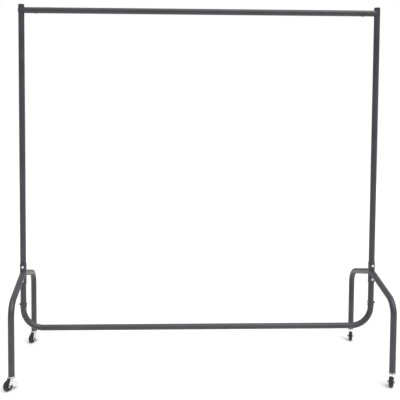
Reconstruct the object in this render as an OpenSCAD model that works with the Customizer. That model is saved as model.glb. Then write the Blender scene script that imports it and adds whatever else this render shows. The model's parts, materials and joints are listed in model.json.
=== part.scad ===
// Rolling clothes rack: a bolted steel tube frame that stands on four swivel castors.
// Millimetres. +X runs along the rails, +Y to the back, +Z up.
// The origin is on the floor, midway between the uprights and midway between the feet.

/* [Rack] */
// Distance between the two uprights, centre to centre
rack_w = 1800; // [1200:10:2400]
// Height of the hanging rail's centre above the floor
rail_h = 1800; // [1200:1:2400]
// Height of each upright's closed end above the hanging rail's centre
upright_rise = 30; // [26:1:60]
// Distance between the front and rear feet, centre to centre
foot_spread = 620; // [440:10:900]
// Height of the bottom rail's centre above the floor
low_rail_h = 185; // [140:1:240]

/* [Tube] */
// Outside diameter of every frame tube
tube_d = 30; // [24:0.5:38]
// Wall thickness of every frame tube
tube_wall = 1.5; // [1:0.1:2.2]
// Bend radius of the bottom rail's upturned ends, on the tube's centre
low_bend_r = 100; // [70:5:125]
// Bend radius of the legs, on the tube's centre
leg_bend_r = 80; // [55:5:110]
// Angle of each leg's sloping part below horizontal
leg_slope = 14; // [8:1:20]

/* [Joints between tubes] */
// Height at which the legs' centres meet the upright's centre
leg_joint_h = 472; // [440:1:580]
// Length of the sleeve that clamps each upright
sleeve_len = 106; // [96:1:150]
// Wall thickness of the sleeve
sleeve_wall = 1.9; // [1.2:0.1:3]
// Gap between a tube and what it slides into, each side
slide_gap = 0.1; // [0.05:0.01:0.3]
// Distance between the two bolts of a sleeve
sleeve_bolt_gap = 70; // [60:1:90]
// Length of straight tube between the bottom rail's bend and its socket
riser_len = 1; // [0.5:0.5:40]
// Length of upright that sits in the bottom rail's socket
socket_depth = 26; // [20:1:30]
// Distance from the socket's mouth down to its bolt
socket_edge = 8; // [7:1:12]
// Length of the stub welded to each upright, from the upright's centre
stub_len = 50; // [35:1:80]
// Length of the stub's spigot inside the hanging rail
spigot_len = 50; // [30:1:90]

/* [Caps] */
// Thickness of the cap's head above the tube
cap_t = 3; // [2:0.5:6]
// Length of the cap's plug inside the tube
cap_plug = 14; // [8:1:25]

/* [Fasteners] */
// Thread diameter of the frame bolts
bolt_d = 6; // [5:0.5:8]
// Clearance of a bolt in its hole, on the diameter
bolt_gap = 0.4; // [0.2:0.1:0.8]
// Thickness of a saddle washer at its crown
saddle_t = 1.2; // [0.8:0.1:2]
// Length of thread that shows past a sleeve's nut
sleeve_thread_end = 2; // [1:0.5:5]
// Length of thread that shows past a bottom rail joint's nut
joint_thread_end = 7; // [1:0.5:10]

/* [Castor] */
// Diameter of the wheel over its tyre
wheel_d = 50; // [40:1:63]
// Width of the tyre
tyre_w = 18; // [14:1:24]
// Radial thickness of the tyre
tyre_t = 6; // [4:0.5:8]
// Distance from the swivel axis back to the axle
trail = 22; // [18:1:28]
// Gap between the tyre's top and the underside of the fork's crown
crown_gap = 6; // [6:0.5:10]
// Thickness of the fork's pressed steel
fork_t = 2; // [1.5:0.1:3]
// Gap between the wheel's hub and each cheek of the fork
hub_gap = 0.8; // [0.5:0.1:1.5]
// Diameter of the castor's fixed head plate
head_d = 35.4; // [33:0.1:42]
// Thickness of the fixed head plate
head_t = 2.6; // [2:0.1:4]
// Ball diameter in the swivel bearing
ball_d = 4; // [3:0.1:5]
// Ball count in the swivel bearing
ball_count = 14; // [10:1:16]
// Diameter of the stem that plugs into the leg
stem_d = 11; // [8:0.5:13]
// Length of the stem above the head plate
stem_len = 32; // [25:1:50]
// Thickness of the socket's flange under the tube's end
flange_t = 2; // [1.5:0.1:4]
// Diameter of the axle bolt
axle_d = 6; // [5:0.5:8]
// Running clearance of every turning pin in its hole, each side
run_gap = 0.08; // [0.03:0.01:0.1]

/* [Brake] */
// Diameter of the pin on which a brake pedal turns
brake_pin_d = 4; // [3:0.5:4.5]
// Thickness of the pedal's pressed steel
pedal_t = 1.5; // [1.2:0.1:2]
// Gap between the released brake shoe and the tyre
shoe_gap = 2; // [1.5:0.1:3]
// Length of the pedal from its pin to its rounded tip
pedal_len = 46; // [40:1:50]
// Angle of the released pedal below horizontal
pedal_slope = 46.5; // [42:0.5:50]

/* [Rest pose] */
// Direction the front left castor trails, from straight forward towards the left end
front_left_trail = 36; // [-180:1:180]
// Direction the rear left castor trails, from straight forward towards the left end
rear_left_trail = 22; // [-180:1:180]
// Direction the front right castor trails, from straight forward towards the left end
front_right_trail = 31; // [-180:1:180]
// Direction the rear right castor trails, from straight forward towards the left end
rear_right_trail = 19; // [-180:1:180]

/* [Hidden] */
$fn = 64;
powder_coat = [0.29, 0.30, 0.32];
zinc = [0.82, 0.83, 0.85];
black_plastic = [0.10, 0.10, 0.11];
black_rubber = [0.08, 0.08, 0.08];

half_w = rack_w / 2;
half_spread = foot_spread / 2;
tube_r = tube_d / 2;
tube_bore = tube_d - 2 * tube_wall;
past = 1; // how far a cutting solid runs past what it cuts

// The sleeve on each upright, and its bolts
sleeve_bore = tube_d + 2 * slide_gap;
sleeve_d = sleeve_bore + 2 * sleeve_wall;
sleeve_mid_h = leg_joint_h - 5;
sleeve_bolt_hs = [sleeve_mid_h - sleeve_bolt_gap / 2, sleeve_mid_h + sleeve_bolt_gap / 2];

// The bottom rail's sockets, which take the lower ends of the uprights
socket_bore = tube_d + 2 * slide_gap;
socket_d = socket_bore + 2 * tube_wall;
socket_cone = 4;
socket_floor_h = low_rail_h + low_bend_r + riser_len + socket_cone;
socket_top_h = socket_floor_h + socket_depth;
joint_bolt_h = socket_top_h - socket_edge;
upright_foot_h = socket_floor_h + 0.5;
upright_top_h = rail_h + upright_rise - cap_t;

// The spigots, which take the ends of the hanging rail
stub_x = half_w - stub_len;
spigot_d = tube_bore - 2 * slide_gap;
spigot_bore = spigot_d - 2 * tube_wall;
rail_screw_x = stub_x - spigot_len / 2;

// Fasteners
hole_d = bolt_d + bolt_gap;
saddle_d = 2.15 * bolt_d;
dome_r = bolt_d;
dome_h = 0.6 * bolt_d;
dome_rim = 0.1 * bolt_d;
nut_flats = 5 / 3 * bolt_d;
nut_h = 5 / 6 * bolt_d;
nut_gap = 0.05;

// Heights of the castor's layers, from the floor up
wheel_r = wheel_d / 2;
crown_low_h = wheel_d + crown_gap;
crown_top_h = crown_low_h + fork_t;
race_gap = 0.6 * ball_d;
head_low_h = crown_top_h + race_gap;
head_top_h = head_low_h + head_t;
leg_end_h = head_top_h + flange_t;
ball_h = crown_top_h + race_gap / 2;
ball_ring_r = 0.37 * head_d;
ball_r = ball_d / 2;

// The fork's cheeks, which carry the axle
hub_w = tyre_w + 1.6;
cheek_in = hub_w / 2 + hub_gap;
cheek_out = cheek_in + fork_t;
crown_front = 15;
crown_back = -15;
axle_boss_r = 8;
axle = [-trail, wheel_r];
kingpin_d = 8;
kingpin_head_d = 12;
kingpin_head_t = 1.7;

// The brake pedal: its pin sits over the tyre, in front of the swivel axis's rear half
brake_pin_reach = wheel_r + 6.2;
brake_pin_angle = 50.2;
brake_pin = axle + brake_pin_reach * [cos(brake_pin_angle), sin(brake_pin_angle)];
pedal_dir = [cos(pedal_slope), -sin(pedal_slope)];
pedal_up = [sin(pedal_slope), cos(pedal_slope)];
pedal_tip = brake_pin + pedal_len * pedal_dir;
pedal_root_r = 6;
pedal_tip_r = 4;
pedal_belly = 19; // how far the arms widen downwards, over the wheel's front
pedal_side_gap = 0.4;
pedal_in = cheek_out + pedal_side_gap;
pedal_out = pedal_in + pedal_t;
barrel_r = brake_pin_d / 2 + 1.7;
shoe_w = tyre_w - 1;

CORNERS = ["front_left", "rear_left", "front_right", "rear_right"];
BRAKED = ["front_left", "rear_left"];
CASTOR_PIECES = ["socket", "stem", "balls", "fork", "axle", "axle_nut", "wheel", "tyre"];
BRAKE_PIECES = ["brake_pin", "brake_pedal"];
FRAME_NODES = [
    "hanging_rail", "bottom_rail", "left_upright", "right_upright", "left_stub", "right_stub",
    "left_sleeve", "right_sleeve", "front_left_leg", "rear_left_leg", "front_right_leg",
    "rear_right_leg", "left_cap", "right_cap", "sleeve_bolts", "sleeve_nuts", "joint_bolts",
    "joint_nuts", "rail_screws", "saddle_washers"
];

function is_braked(corner) = len([for (b = BRAKED) if (b == corner) b]) > 0;
function pieces_of(corner) = concat(CASTOR_PIECES, is_braked(corner) ? BRAKE_PIECES : []);

function is_left(corner) = corner == "front_left" || corner == "rear_left";
function is_front(corner) = corner == "front_left" || corner == "front_right";
function corner_x(corner) = is_left(corner) ? -half_w : half_w;
function corner_y(corner) = is_front(corner) ? -half_spread : half_spread;
function trail_angle(corner) =
    corner == "front_left" ? front_left_trail :
    corner == "rear_left" ? rear_left_trail :
    corner == "front_right" ? front_right_trail : rear_right_trail;

// The point where a line from point p touches the circle at c of radius r, on the given side
function touch(p, c, r, side) =
    let (d = p - c, a = atan2(d[1], d[0]) + side * acos(r / norm(d)))
    c + r * [cos(a), sin(a)];

// ---- Helpers ----

// Places children at one end of the rack: the left end, or its mirror image on the right
module at_end(left) {
    mirror([left ? 0 : 1, 0, 0]) translate([-half_w, 0, 0]) children();
}

// Turns an upright shape so that its own +Z points along the named direction
module facing(direction) {
    turn = direction == "front" ? [90, 0, 0] :
        direction == "back" ? [-90, 0, 0] :
        direction == "left" ? [0, -90, 0] :
        direction == "right" ? [0, 90, 0] : [180, 0, 0];
    rotate(turn) children();
}

// A straight round bar from height a to height b
module bar(d, a, b) {
    translate([0, 0, a]) cylinder(d = d, h = b - a);
}

// ---- Fasteners, built along +Z about a tube whose centre is at the origin ----

// A washer whose hollow side sits on a tube of diameter d that runs along Y
module saddle_washer(d) {
    difference() {
        bar(saddle_d, 0.8 * d / 2, d / 2 + saddle_t);
        rotate([90, 0, 0]) cylinder(d = d, h = saddle_d + 2 * past, center = true);
        bar(hole_d, 0, d / 2 + saddle_t + past);
    }
}

// A domed bolt: its head bears at height seat, and its shank runs down to height foot
module dome_bolt(seat, foot) {
    cap_h = dome_h - dome_rim;
    cap_r = (dome_r * dome_r + cap_h * cap_h) / (2 * cap_h);
    difference() {
        union() {
            bar(bolt_d, foot, seat + dome_rim);
            bar(2 * dome_r, seat, seat + dome_rim);
            intersection() {
                translate([0, 0, seat + dome_h - cap_r]) sphere(r = cap_r);
                bar(2 * dome_r, seat + dome_rim, seat + dome_h + past);
            }
        }
        translate([0, 0, seat + dome_h / 2])
            cylinder(d = 0.67 * bolt_d / cos(30), h = dome_h, $fn = 6);
    }
}

// A hexagon nut that bears at height seat and stands down from it
module hex_nut(seat) {
    difference() {
        intersection() {
            translate([0, 0, seat - nut_h]) cylinder(d = nut_flats / cos(30), h = nut_h, $fn = 6);
            translate([0, 0, seat - nut_h])
                cylinder(d1 = 0.96 * nut_flats, d2 = 2 * nut_flats, h = nut_h);
        }
        bar(bolt_d + 2 * nut_gap, seat - nut_h - past, seat + past);
    }
}

// ---- Frame ----

// The solid outline of one upright, or its bore, of diameter d
module upright_bar(d, extra) {
    bar(d, upright_foot_h - extra, upright_top_h + extra);
}

// The holes that the sleeve's bolts pass through
module sleeve_bolt_holes() {
    for (h = sleeve_bolt_hs)
        translate([0, 0, h]) rotate([90, 0, 0])
            cylinder(d = hole_d, h = sleeve_d + 2 * past, center = true);
}

// The hole that the bottom rail joint's bolt passes through
module joint_bolt_hole() {
    translate([0, 0, joint_bolt_h]) rotate([0, 90, 0])
        cylinder(d = hole_d, h = socket_d + 2 * past, center = true);
}

module upright(left) {
    color(powder_coat) at_end(left) difference() {
        upright_bar(tube_d, 0);
        upright_bar(tube_bore, past);
        sleeve_bolt_holes();
        joint_bolt_hole();
    }
}

// The stub is coped to the upright and welded there; its spigot fills the hanging rail's end
module stub(left) {
    color(powder_coat) at_end(left) difference() {
        translate([0, 0, rail_h]) rotate([0, 90, 0]) union() {
            bar(tube_d, 0, stub_len);
            bar(spigot_d, 0, stub_len + spigot_len);
        }
        translate([0, 0, rail_h]) rotate([0, 90, 0])
            bar(spigot_bore, -past, stub_len + spigot_len + past);
        bar(tube_d, rail_h - tube_d, rail_h + tube_d);
        translate([stub_len + spigot_len / 2, 0, rail_h]) facing("down")
            bar(bolt_d + 2 * nut_gap, 0, tube_d);
    }
}

module hanging_rail() {
    color(powder_coat) translate([0, 0, rail_h]) difference() {
        rotate([0, 90, 0]) bar(tube_d, -stub_x, stub_x);
        rotate([0, 90, 0]) bar(tube_bore, -stub_x - past, stub_x + past);
        for (side = [-1, 1])
            translate([side * rail_screw_x, 0, 0]) facing("down") bar(hole_d, 0, tube_d);
    }
}

// The bottom rail's solid outline of diameter d; mouth_d is the diameter of its two sockets
module low_rail_bar(d, mouth_d, extra) {
    bend_x = half_w - low_bend_r;
    bend_h = low_rail_h + low_bend_r;
    translate([0, 0, low_rail_h]) rotate([0, 90, 0]) bar(d, -bend_x, bend_x);
    for (side = [0, 1]) mirror([side, 0, 0]) {
        translate([bend_x, 0, bend_h]) rotate([90, 90, 0])
            rotate_extrude(angle = 90) translate([low_bend_r, 0]) circle(d = d);
        translate([half_w, 0, 0]) {
            bar(d, bend_h, socket_floor_h - socket_cone);
            translate([0, 0, socket_floor_h - socket_cone])
                cylinder(d1 = d, d2 = mouth_d, h = socket_cone);
            bar(mouth_d, socket_floor_h, socket_top_h + extra);
        }
    }
}

module bottom_rail() {
    color(powder_coat) difference() {
        low_rail_bar(tube_d, socket_d, 0);
        low_rail_bar(tube_bore, socket_bore, past);
        for (left = [true, false]) at_end(left) joint_bolt_hole();
    }
}

module sleeve(left) {
    low = sleeve_mid_h - sleeve_len / 2;
    high = sleeve_mid_h + sleeve_len / 2;
    color(powder_coat) at_end(left) difference() {
        bar(sleeve_d, low, high);
        bar(sleeve_bore, low - past, high + past);
        sleeve_bolt_holes();
    }
}

// A front leg's solid outline of diameter d, from the upright's centre down to the castor
module leg_bar(d, extra) {
    bend_in = leg_bend_r * tan((90 - leg_slope) / 2);
    corner_h = leg_joint_h - half_spread * tan(leg_slope);
    translate([0, 0, leg_joint_h]) rotate([90 + leg_slope, 0, 0])
        bar(d, 0, half_spread / cos(leg_slope) - bend_in);
    translate([0, leg_bend_r - half_spread, corner_h - bend_in]) rotate([90, 0, -90])
        rotate_extrude(angle = 90 - leg_slope) translate([leg_bend_r, 0]) circle(d = d);
    translate([0, -half_spread, 0]) bar(d, leg_end_h - extra, corner_h - bend_in);
}

module leg(corner) {
    color(powder_coat) at_end(is_left(corner)) mirror([0, is_front(corner) ? 0 : 1, 0])
        difference() {
            leg_bar(tube_d, 0);
            leg_bar(tube_bore, past);
            bar(sleeve_d, leg_joint_h - 2 * tube_d, leg_joint_h + 2 * tube_d);
        }
}

// A plug with a rounded head that closes an upright's top end
module cap(left) {
    head_r = tube_r - 0.1;
    corner_r = 0.7 * cap_t;
    color(black_plastic) at_end(left) translate([0, 0, upright_top_h]) {
        rotate_extrude() union() {
            square([head_r, cap_t - corner_r]);
            square([head_r - corner_r, cap_t]);
            translate([head_r - corner_r, cap_t - corner_r]) intersection() {
                circle(r = corner_r);
                square(corner_r);
            }
        }
        bar(tube_bore - 2 * slide_gap, -cap_plug, 0);
    }
}

// Places children at each sleeve bolt, with +Z to the front
module at_sleeve_bolts() {
    for (left = [true, false], h = sleeve_bolt_hs)
        at_end(left) translate([0, 0, h]) facing("front") children();
}

// Places children at each bolt of the bottom rail, with +Z towards the rack's middle
module at_joint_bolts() {
    for (left = [true, false])
        at_end(left) translate([0, 0, joint_bolt_h]) facing("right") children();
}

// Places children at each screw of the hanging rail, with +Z down
module at_rail_screws() {
    for (side = [-1, 1])
        translate([side * rail_screw_x, 0, rail_h]) facing("down") children();
}

module sleeve_bolts() {
    seat = sleeve_d / 2 + saddle_t;
    color(zinc) at_sleeve_bolts() dome_bolt(seat, -seat - nut_h - sleeve_thread_end);
}

module sleeve_nuts() {
    color(zinc) at_sleeve_bolts() hex_nut(-sleeve_d / 2 - saddle_t);
}

module joint_bolts() {
    seat = socket_d / 2 + saddle_t;
    color(zinc) at_joint_bolts() dome_bolt(seat, -seat - nut_h - joint_thread_end);
}

module joint_nuts() {
    color(zinc) at_joint_bolts() hex_nut(-socket_d / 2 - saddle_t);
}

module rail_screws() {
    color(zinc) at_rail_screws() dome_bolt(tube_r + saddle_t, spigot_bore / 2 - 1);
}

module saddle_washers() {
    color(black_plastic) {
        at_sleeve_bolts() for (way = [0, 180])
            rotate([way, 0, 0]) saddle_washer(sleeve_d);
        at_joint_bolts() for (way = [0, 180])
            rotate([way, 0, 0]) rotate([0, 0, 90]) saddle_washer(socket_d);
        at_rail_screws() rotate([0, 0, 90]) saddle_washer(tube_d);
    }
}

// ---- Castors: built over the origin, trailing along -X ----

// Places a castor under its leg, turned the way it trails
module at_corner(corner) {
    translate([corner_x(corner), corner_y(corner), 0])
        rotate([0, 0, 90 - trail_angle(corner)]) children();
}

// Lays a flat outline, drawn with X forward and Y up, between two distances across the castor
module across(y_from, y_to) {
    translate([0, y_to, 0]) rotate([90, 0, 0]) linear_extrude(y_to - y_from) children();
}

// A pin across the castor at point p, from y_from to y_to
module cross_pin(p, d, y_from, y_to) {
    across(y_from, y_to) translate(p) circle(d = d);
}

// The plastic plug that fills the leg's end and grips the castor's stem
module castor_socket() {
    color(black_plastic) difference() {
        union() {
            bar(tube_d - 0.2, head_top_h, leg_end_h);
            bar(tube_bore - 2 * slide_gap, leg_end_h, head_top_h + stem_len + 2);
        }
        bar(stem_d + 2 * slide_gap, head_top_h - past, head_top_h + stem_len + 2 + past);
    }
}

// The stem, the head plate that it is riveted to, and the kingpin below it
module castor_stem() {
    rim = 0.8;
    color(zinc) difference() {
        union() {
            bar(stem_d, head_top_h - past, head_top_h + stem_len);
            bar(head_d, head_low_h, head_top_h - rim);
            translate([0, 0, head_top_h - rim])
                cylinder(d1 = head_d, d2 = head_d - 2 * rim, h = rim);
            bar(kingpin_d, crown_low_h - 0.3 - kingpin_head_t, head_low_h);
            bar(kingpin_head_d, crown_low_h - 0.3 - kingpin_head_t, crown_low_h - 0.3);
        }
        translate([0, 0, ball_h]) rotate_extrude()
            translate([ball_ring_r, 0]) circle(r = ball_r + 0.1);
    }
}

module castor_balls() {
    color(zinc) for (i = [0 : ball_count - 1])
        rotate([0, 0, 360 * i / ball_count]) translate([ball_ring_r, 0, ball_h])
            sphere(r = ball_r);
}

// One cheek's outline: broad at the crown, narrow around the axle
module cheek_outline() {
    top_back = [crown_back, crown_top_h];
    top_front = [crown_front, crown_top_h];
    polygon([
        top_back,
        top_front,
        touch(top_front, axle, axle_boss_r, -1),
        axle,
        touch(top_back, axle, axle_boss_r, 1)
    ]);
    translate(axle) circle(r = axle_boss_r);
}

module castor_fork(braked) {
    color(zinc) difference() {
        union() {
            bar(head_d - 1.4, crown_low_h, crown_top_h);
            translate([crown_back, -cheek_out, crown_low_h])
                cube([crown_front - crown_back, 2 * cheek_out, fork_t]);
            across(cheek_in, cheek_out) cheek_outline();
            across(-cheek_out, -cheek_in) cheek_outline();
        }
        bar(kingpin_d + 2 * run_gap, crown_low_h - past, crown_top_h + past);
        translate([0, 0, ball_h]) rotate_extrude()
            translate([ball_ring_r, 0]) circle(r = ball_r);
        cross_pin(axle, axle_d + 0.2, -cheek_out - past, cheek_out + past);
        if (braked)
            cross_pin(brake_pin, brake_pin_d + 0.1, -cheek_out - past, cheek_out + past);
    }
}

// The axle bolt: hexagon head on one cheek, thread through the other
module castor_axle() {
    head_t = 0.6 * axle_d;
    color(zinc) {
        cross_pin(axle, axle_d, -cheek_out, cheek_out + 0.8 * axle_d + 1.5);
        across(-cheek_out - head_t, -cheek_out)
            translate(axle) circle(d = 1.6 * axle_d / cos(30), $fn = 6);
    }
}

module castor_axle_nut() {
    color(zinc) difference() {
        across(cheek_out, cheek_out + 0.8 * axle_d)
            translate(axle) circle(d = 1.6 * axle_d / cos(30), $fn = 6);
        cross_pin(axle, axle_d + 2 * nut_gap, cheek_out - past, cheek_out + axle_d + past);
    }
}

// Turns a profile, drawn with X as radius and Y along the axle, into a round on the axle
module on_axle() {
    translate([axle[0], 0, axle[1]]) rotate([90, 0, 0]) rotate_extrude() children();
}

// The wheel's moulded centre: hub, web and rim
module castor_wheel() {
    rim_r = wheel_r - tyre_t;
    rim_w = tyre_w - 2;
    hub_r = axle_d / 2 + 4.5;
    color(black_plastic) difference() {
        on_axle() {
            translate([0, -hub_w / 2]) square([hub_r, hub_w]);
            translate([0, -tyre_w / 6]) square([rim_r, tyre_w / 3]);
            translate([rim_r - 2.5, -rim_w / 2]) square([2.5, rim_w]);
        }
        cross_pin(axle, axle_d + 2 * run_gap, -hub_w, hub_w);
    }
}

// The tyre, with rounded shoulders
module castor_tyre() {
    shoulder = 0.75 * tyre_t;
    color(black_rubber) on_axle() difference() {
        union() {
            translate([wheel_r - tyre_t, -tyre_w / 2 + shoulder])
                square([tyre_t, tyre_w - 2 * shoulder]);
            translate([wheel_r - tyre_t, -tyre_w / 2]) square([tyre_t - shoulder, tyre_w]);
            for (side = [-1, 1])
                translate([wheel_r - shoulder, side * (tyre_w / 2 - shoulder)])
                    circle(r = shoulder);
        }
        square([2 * (wheel_r - tyre_t), 2 * tyre_w], center = true);
    }
}

// The rivet that the pedal turns on, headed over the pedal's two arms
module castor_brake_pin() {
    head_t = 1.5;
    color(zinc) {
        cross_pin(brake_pin, brake_pin_d, -pedal_out - 0.3, pedal_out + 0.3);
        cross_pin(brake_pin, 2 * brake_pin_d, pedal_out + 0.3, pedal_out + 0.3 + head_t);
        cross_pin(brake_pin, 2 * brake_pin_d, -pedal_out - 0.3 - head_t, -pedal_out - 0.3);
    }
}

// A point on the pedal: s along it from the pin, h above its centre line
function on_pedal(s, h) = brake_pin + s * pedal_dir + h * pedal_up;

// One arm of the pedal: round at the pin and the tip, and broad between them
module arm_outline() {
    polygon([
        on_pedal(0, pedal_root_r),
        on_pedal(pedal_len, pedal_tip_r),
        on_pedal(pedal_len, -pedal_tip_r),
        on_pedal(0.65 * pedal_len, -pedal_belly),
        on_pedal(1.4 * pedal_root_r, -pedal_belly),
        on_pedal(-pedal_root_r / 2, -0.866 * pedal_root_r)
    ]);
    translate(brake_pin) circle(r = pedal_root_r);
    translate(pedal_tip) circle(r = pedal_tip_r);
}

// The tread that joins the two arms, along their upper edge, in front of the fork
module tread_outline() {
    polygon([
        on_pedal(10, 3.8),
        on_pedal(10, 5.4),
        on_pedal(pedal_len, 3.9),
        on_pedal(pedal_len, 2.3)
    ]);
}

// The shoe: a barrel on the pin with a nose that the tyre sits under
module shoe_outline() {
    difference() {
        union() {
            translate(brake_pin) circle(r = barrel_r);
            polygon([
                on_pedal(0, barrel_r),
                on_pedal(12, 5),
                on_pedal(12, 2),
                on_pedal(8, -1),
                on_pedal(8, -6),
                on_pedal(2, -6),
                on_pedal(0, -barrel_r)
            ]);
        }
        translate(axle) circle(r = wheel_r + shoe_gap);
    }
}

module castor_brake_pedal() {
    color(zinc) difference() {
        union() {
            across(pedal_in, pedal_out) arm_outline();
            across(-pedal_out, -pedal_in) arm_outline();
            across(-pedal_out, pedal_out) tread_outline();
            across(-shoe_w / 2, shoe_w / 2) shoe_outline();
        }
        cross_pin(brake_pin, brake_pin_d + 2 * run_gap, -pedal_out - past, pedal_out + past);
    }
}

// One piece of a castor, by its name
module castor_piece(piece, braked) {
    if (piece == "socket") castor_socket();
    if (piece == "stem") castor_stem();
    if (piece == "balls") castor_balls();
    if (piece == "fork") castor_fork(braked);
    if (piece == "axle") castor_axle();
    if (piece == "axle_nut") castor_axle_nut();
    if (piece == "wheel") castor_wheel();
    if (piece == "tyre") castor_tyre();
    if (piece == "brake_pin") castor_brake_pin();
    if (piece == "brake_pedal") castor_brake_pedal();
}

hanging_rail();
bottom_rail();
upright(true);  // left_upright
upright(false);  // right_upright
stub(true);  // left_stub
stub(false);  // right_stub
sleeve(true);  // left_sleeve
sleeve(false);  // right_sleeve
cap(true);  // left_cap
cap(false);  // right_cap
sleeve_bolts();
sleeve_nuts();
joint_bolts();
joint_nuts();
rail_screws();
saddle_washers();
for (corner = CORNERS) {
    leg(corner);
    for (piece = pieces_of(corner))
        at_corner(corner) castor_piece(piece, is_braked(corner));
}
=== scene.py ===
"""The rolling clothes rack: its finishes, its finer pieces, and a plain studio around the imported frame."""

import json
import logging
import math
from contextlib import contextmanager
from dataclasses import dataclass
from enum import Enum
from typing import Iterator, Sequence

import bmesh
import bpy
from mathutils import Matrix, Vector


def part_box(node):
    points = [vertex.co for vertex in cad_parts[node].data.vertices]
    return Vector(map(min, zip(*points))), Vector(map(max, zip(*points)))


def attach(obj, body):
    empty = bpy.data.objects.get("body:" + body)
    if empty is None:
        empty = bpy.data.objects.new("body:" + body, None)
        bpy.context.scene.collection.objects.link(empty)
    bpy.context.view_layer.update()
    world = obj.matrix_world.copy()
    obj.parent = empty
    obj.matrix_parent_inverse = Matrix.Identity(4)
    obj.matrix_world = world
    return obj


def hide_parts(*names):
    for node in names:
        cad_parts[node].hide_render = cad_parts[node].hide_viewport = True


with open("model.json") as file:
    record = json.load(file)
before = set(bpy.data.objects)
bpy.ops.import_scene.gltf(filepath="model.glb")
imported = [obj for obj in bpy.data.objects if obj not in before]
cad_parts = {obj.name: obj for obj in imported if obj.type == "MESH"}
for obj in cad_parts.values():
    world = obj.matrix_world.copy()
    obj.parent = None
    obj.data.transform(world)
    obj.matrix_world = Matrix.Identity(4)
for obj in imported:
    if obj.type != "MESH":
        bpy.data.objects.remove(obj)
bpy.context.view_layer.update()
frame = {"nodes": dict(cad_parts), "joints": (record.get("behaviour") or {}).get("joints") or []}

log = logging.getLogger("clothes_rack")
MM = 0.001
ORIGIN = Vector((0, 0, 0))
UP = Vector((0, 0, 1))
ACROSS = Vector((0, 1, 0))

Piece = bpy.types.Object
Material = bpy.types.Material
Tree = bpy.types.NodeTree
Node = bpy.types.Node
Socket = bpy.types.NodeSocket
Flat = tuple[float, float]
Place = tuple[float, float, float]
Outline = Sequence[Flat]
Tone = tuple[float, float, float]
Colour = tuple[float, float, float, float]


# ---- Modelling by hand: small helpers over Blender's own operators ----


def only(*pieces: Piece) -> None:
    """Selects these objects and nothing else, and makes the first one active.

    Args:
        pieces: the objects to select.
    """
    bpy.ops.object.select_all(action="DESELECT")
    for piece in pieces:
        piece.select_set(True)
    bpy.context.view_layer.objects.active = pieces[0]


@contextmanager
def editing(piece: Piece) -> Iterator[bmesh.types.BMesh]:
    """Opens a piece in edit mode with nothing selected, and closes it again.

    Args:
        piece: the object to edit.
    """
    only(piece)
    bpy.ops.object.mode_set(mode="EDIT")
    bpy.ops.mesh.select_mode(type="FACE")
    bpy.ops.mesh.select_all(action="DESELECT")
    try:
        yield bmesh.from_edit_mesh(piece.data)
    finally:
        bpy.ops.object.mode_set(mode="OBJECT")


def use_modifier(piece: Piece, kind: str, **settings: object) -> None:
    """Adds one modifier to a piece, sets it, and applies it.

    Args:
        piece: the object to change.
        kind: the modifier's type.
        settings: the modifier's own values.
    """
    only(piece)
    modifier = piece.modifiers.new(kind.title(), kind)
    for name, value in settings.items():
        setattr(modifier, name, value)
    bpy.ops.object.modifier_apply(modifier=modifier.name)


def outline(name: str, points: Sequence[Sequence[float]], fill: bool = True) -> Piece:
    """Starts a piece as a circle primitive whose vertices are moved onto an outline.

    Args:
        name: the piece's name.
        points: the outline's corners in order, in metres.
        fill: whether the outline becomes a face.

    Returns:
        The flat piece.
    """
    bpy.ops.object.select_all(action="DESELECT")
    bpy.ops.mesh.primitive_circle_add(
        vertices=len(points), radius=1.0, fill_type="NGON" if fill else "NOTHING"
    )
    piece = bpy.context.object
    piece.name = name
    for vertex, point in zip(piece.data.vertices, points):
        vertex.co = point
    return piece


def extruded(piece: Piece, way: Vector) -> Piece:
    """Gives a flat piece its thickness.

    Args:
        piece: a piece that is one flat face.
        way: how far and which way the face is pulled.

    Returns:
        The same piece, closed and facing outwards.
    """
    with editing(piece):
        bpy.ops.mesh.select_all(action="SELECT")
        bpy.ops.mesh.extrude_region_move(TRANSFORM_OT_translate={"value": way})
        bpy.ops.mesh.select_all(action="SELECT")
        bpy.ops.mesh.normals_make_consistent(inside=False)
    return piece


def spun(name: str, profile: Outline, steps: int, centre: Vector, axis: Vector) -> Piece:
    """Turns a closed profile into a round piece, as on a lathe.

    Args:
        name: the piece's name.
        profile: corners as radius and distance along the axis, in millimetres.
        steps: how many segments the round has.
        centre: the point on the axis where distance along it is zero.
        axis: the axis to turn about.

    Returns:
        The closed round piece.
    """
    along = axis.normalized()
    out = along.orthogonal().normalized()
    points = [centre + out * r * MM + along * h * MM for r, h in profile]
    piece = outline(name, points, fill=False)
    with editing(piece):
        bpy.ops.mesh.select_mode(type="EDGE")
        bpy.ops.mesh.select_all(action="SELECT")
        bpy.ops.mesh.spin(steps=steps, angle=math.tau, center=centre, axis=along)
        bpy.ops.mesh.select_all(action="SELECT")
        bpy.ops.mesh.remove_doubles(threshold=0.002 * MM)
        bpy.ops.mesh.dissolve_degenerate(threshold=0.001 * MM)
        bpy.ops.mesh.delete_loose(use_verts=True, use_edges=True, use_faces=False)
        bpy.ops.mesh.select_all(action="SELECT")
        bpy.ops.mesh.normals_make_consistent(inside=False)
    return piece


def rod(name: str, radius: float, start: Vector, end: Vector, sides: int = 48) -> Piece:
    """Adds a round bar between two points.

    Args:
        name: the piece's name.
        radius: the bar's radius in metres.
        start: the middle of one end.
        end: the middle of the other end.
        sides: how many sides the round has.

    Returns:
        The bar, with its place in its mesh.
    """
    way = end - start
    bpy.ops.object.select_all(action="DESELECT")
    bpy.ops.mesh.primitive_cylinder_add(
        vertices=sides,
        radius=radius,
        depth=way.length,
        location=(start + end) / 2,
        rotation=way.to_track_quat("Z", "Y").to_euler(),
    )
    piece = bpy.context.object
    piece.name = name
    bpy.ops.object.transform_apply(location=True, rotation=True, scale=True)
    return piece


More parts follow.
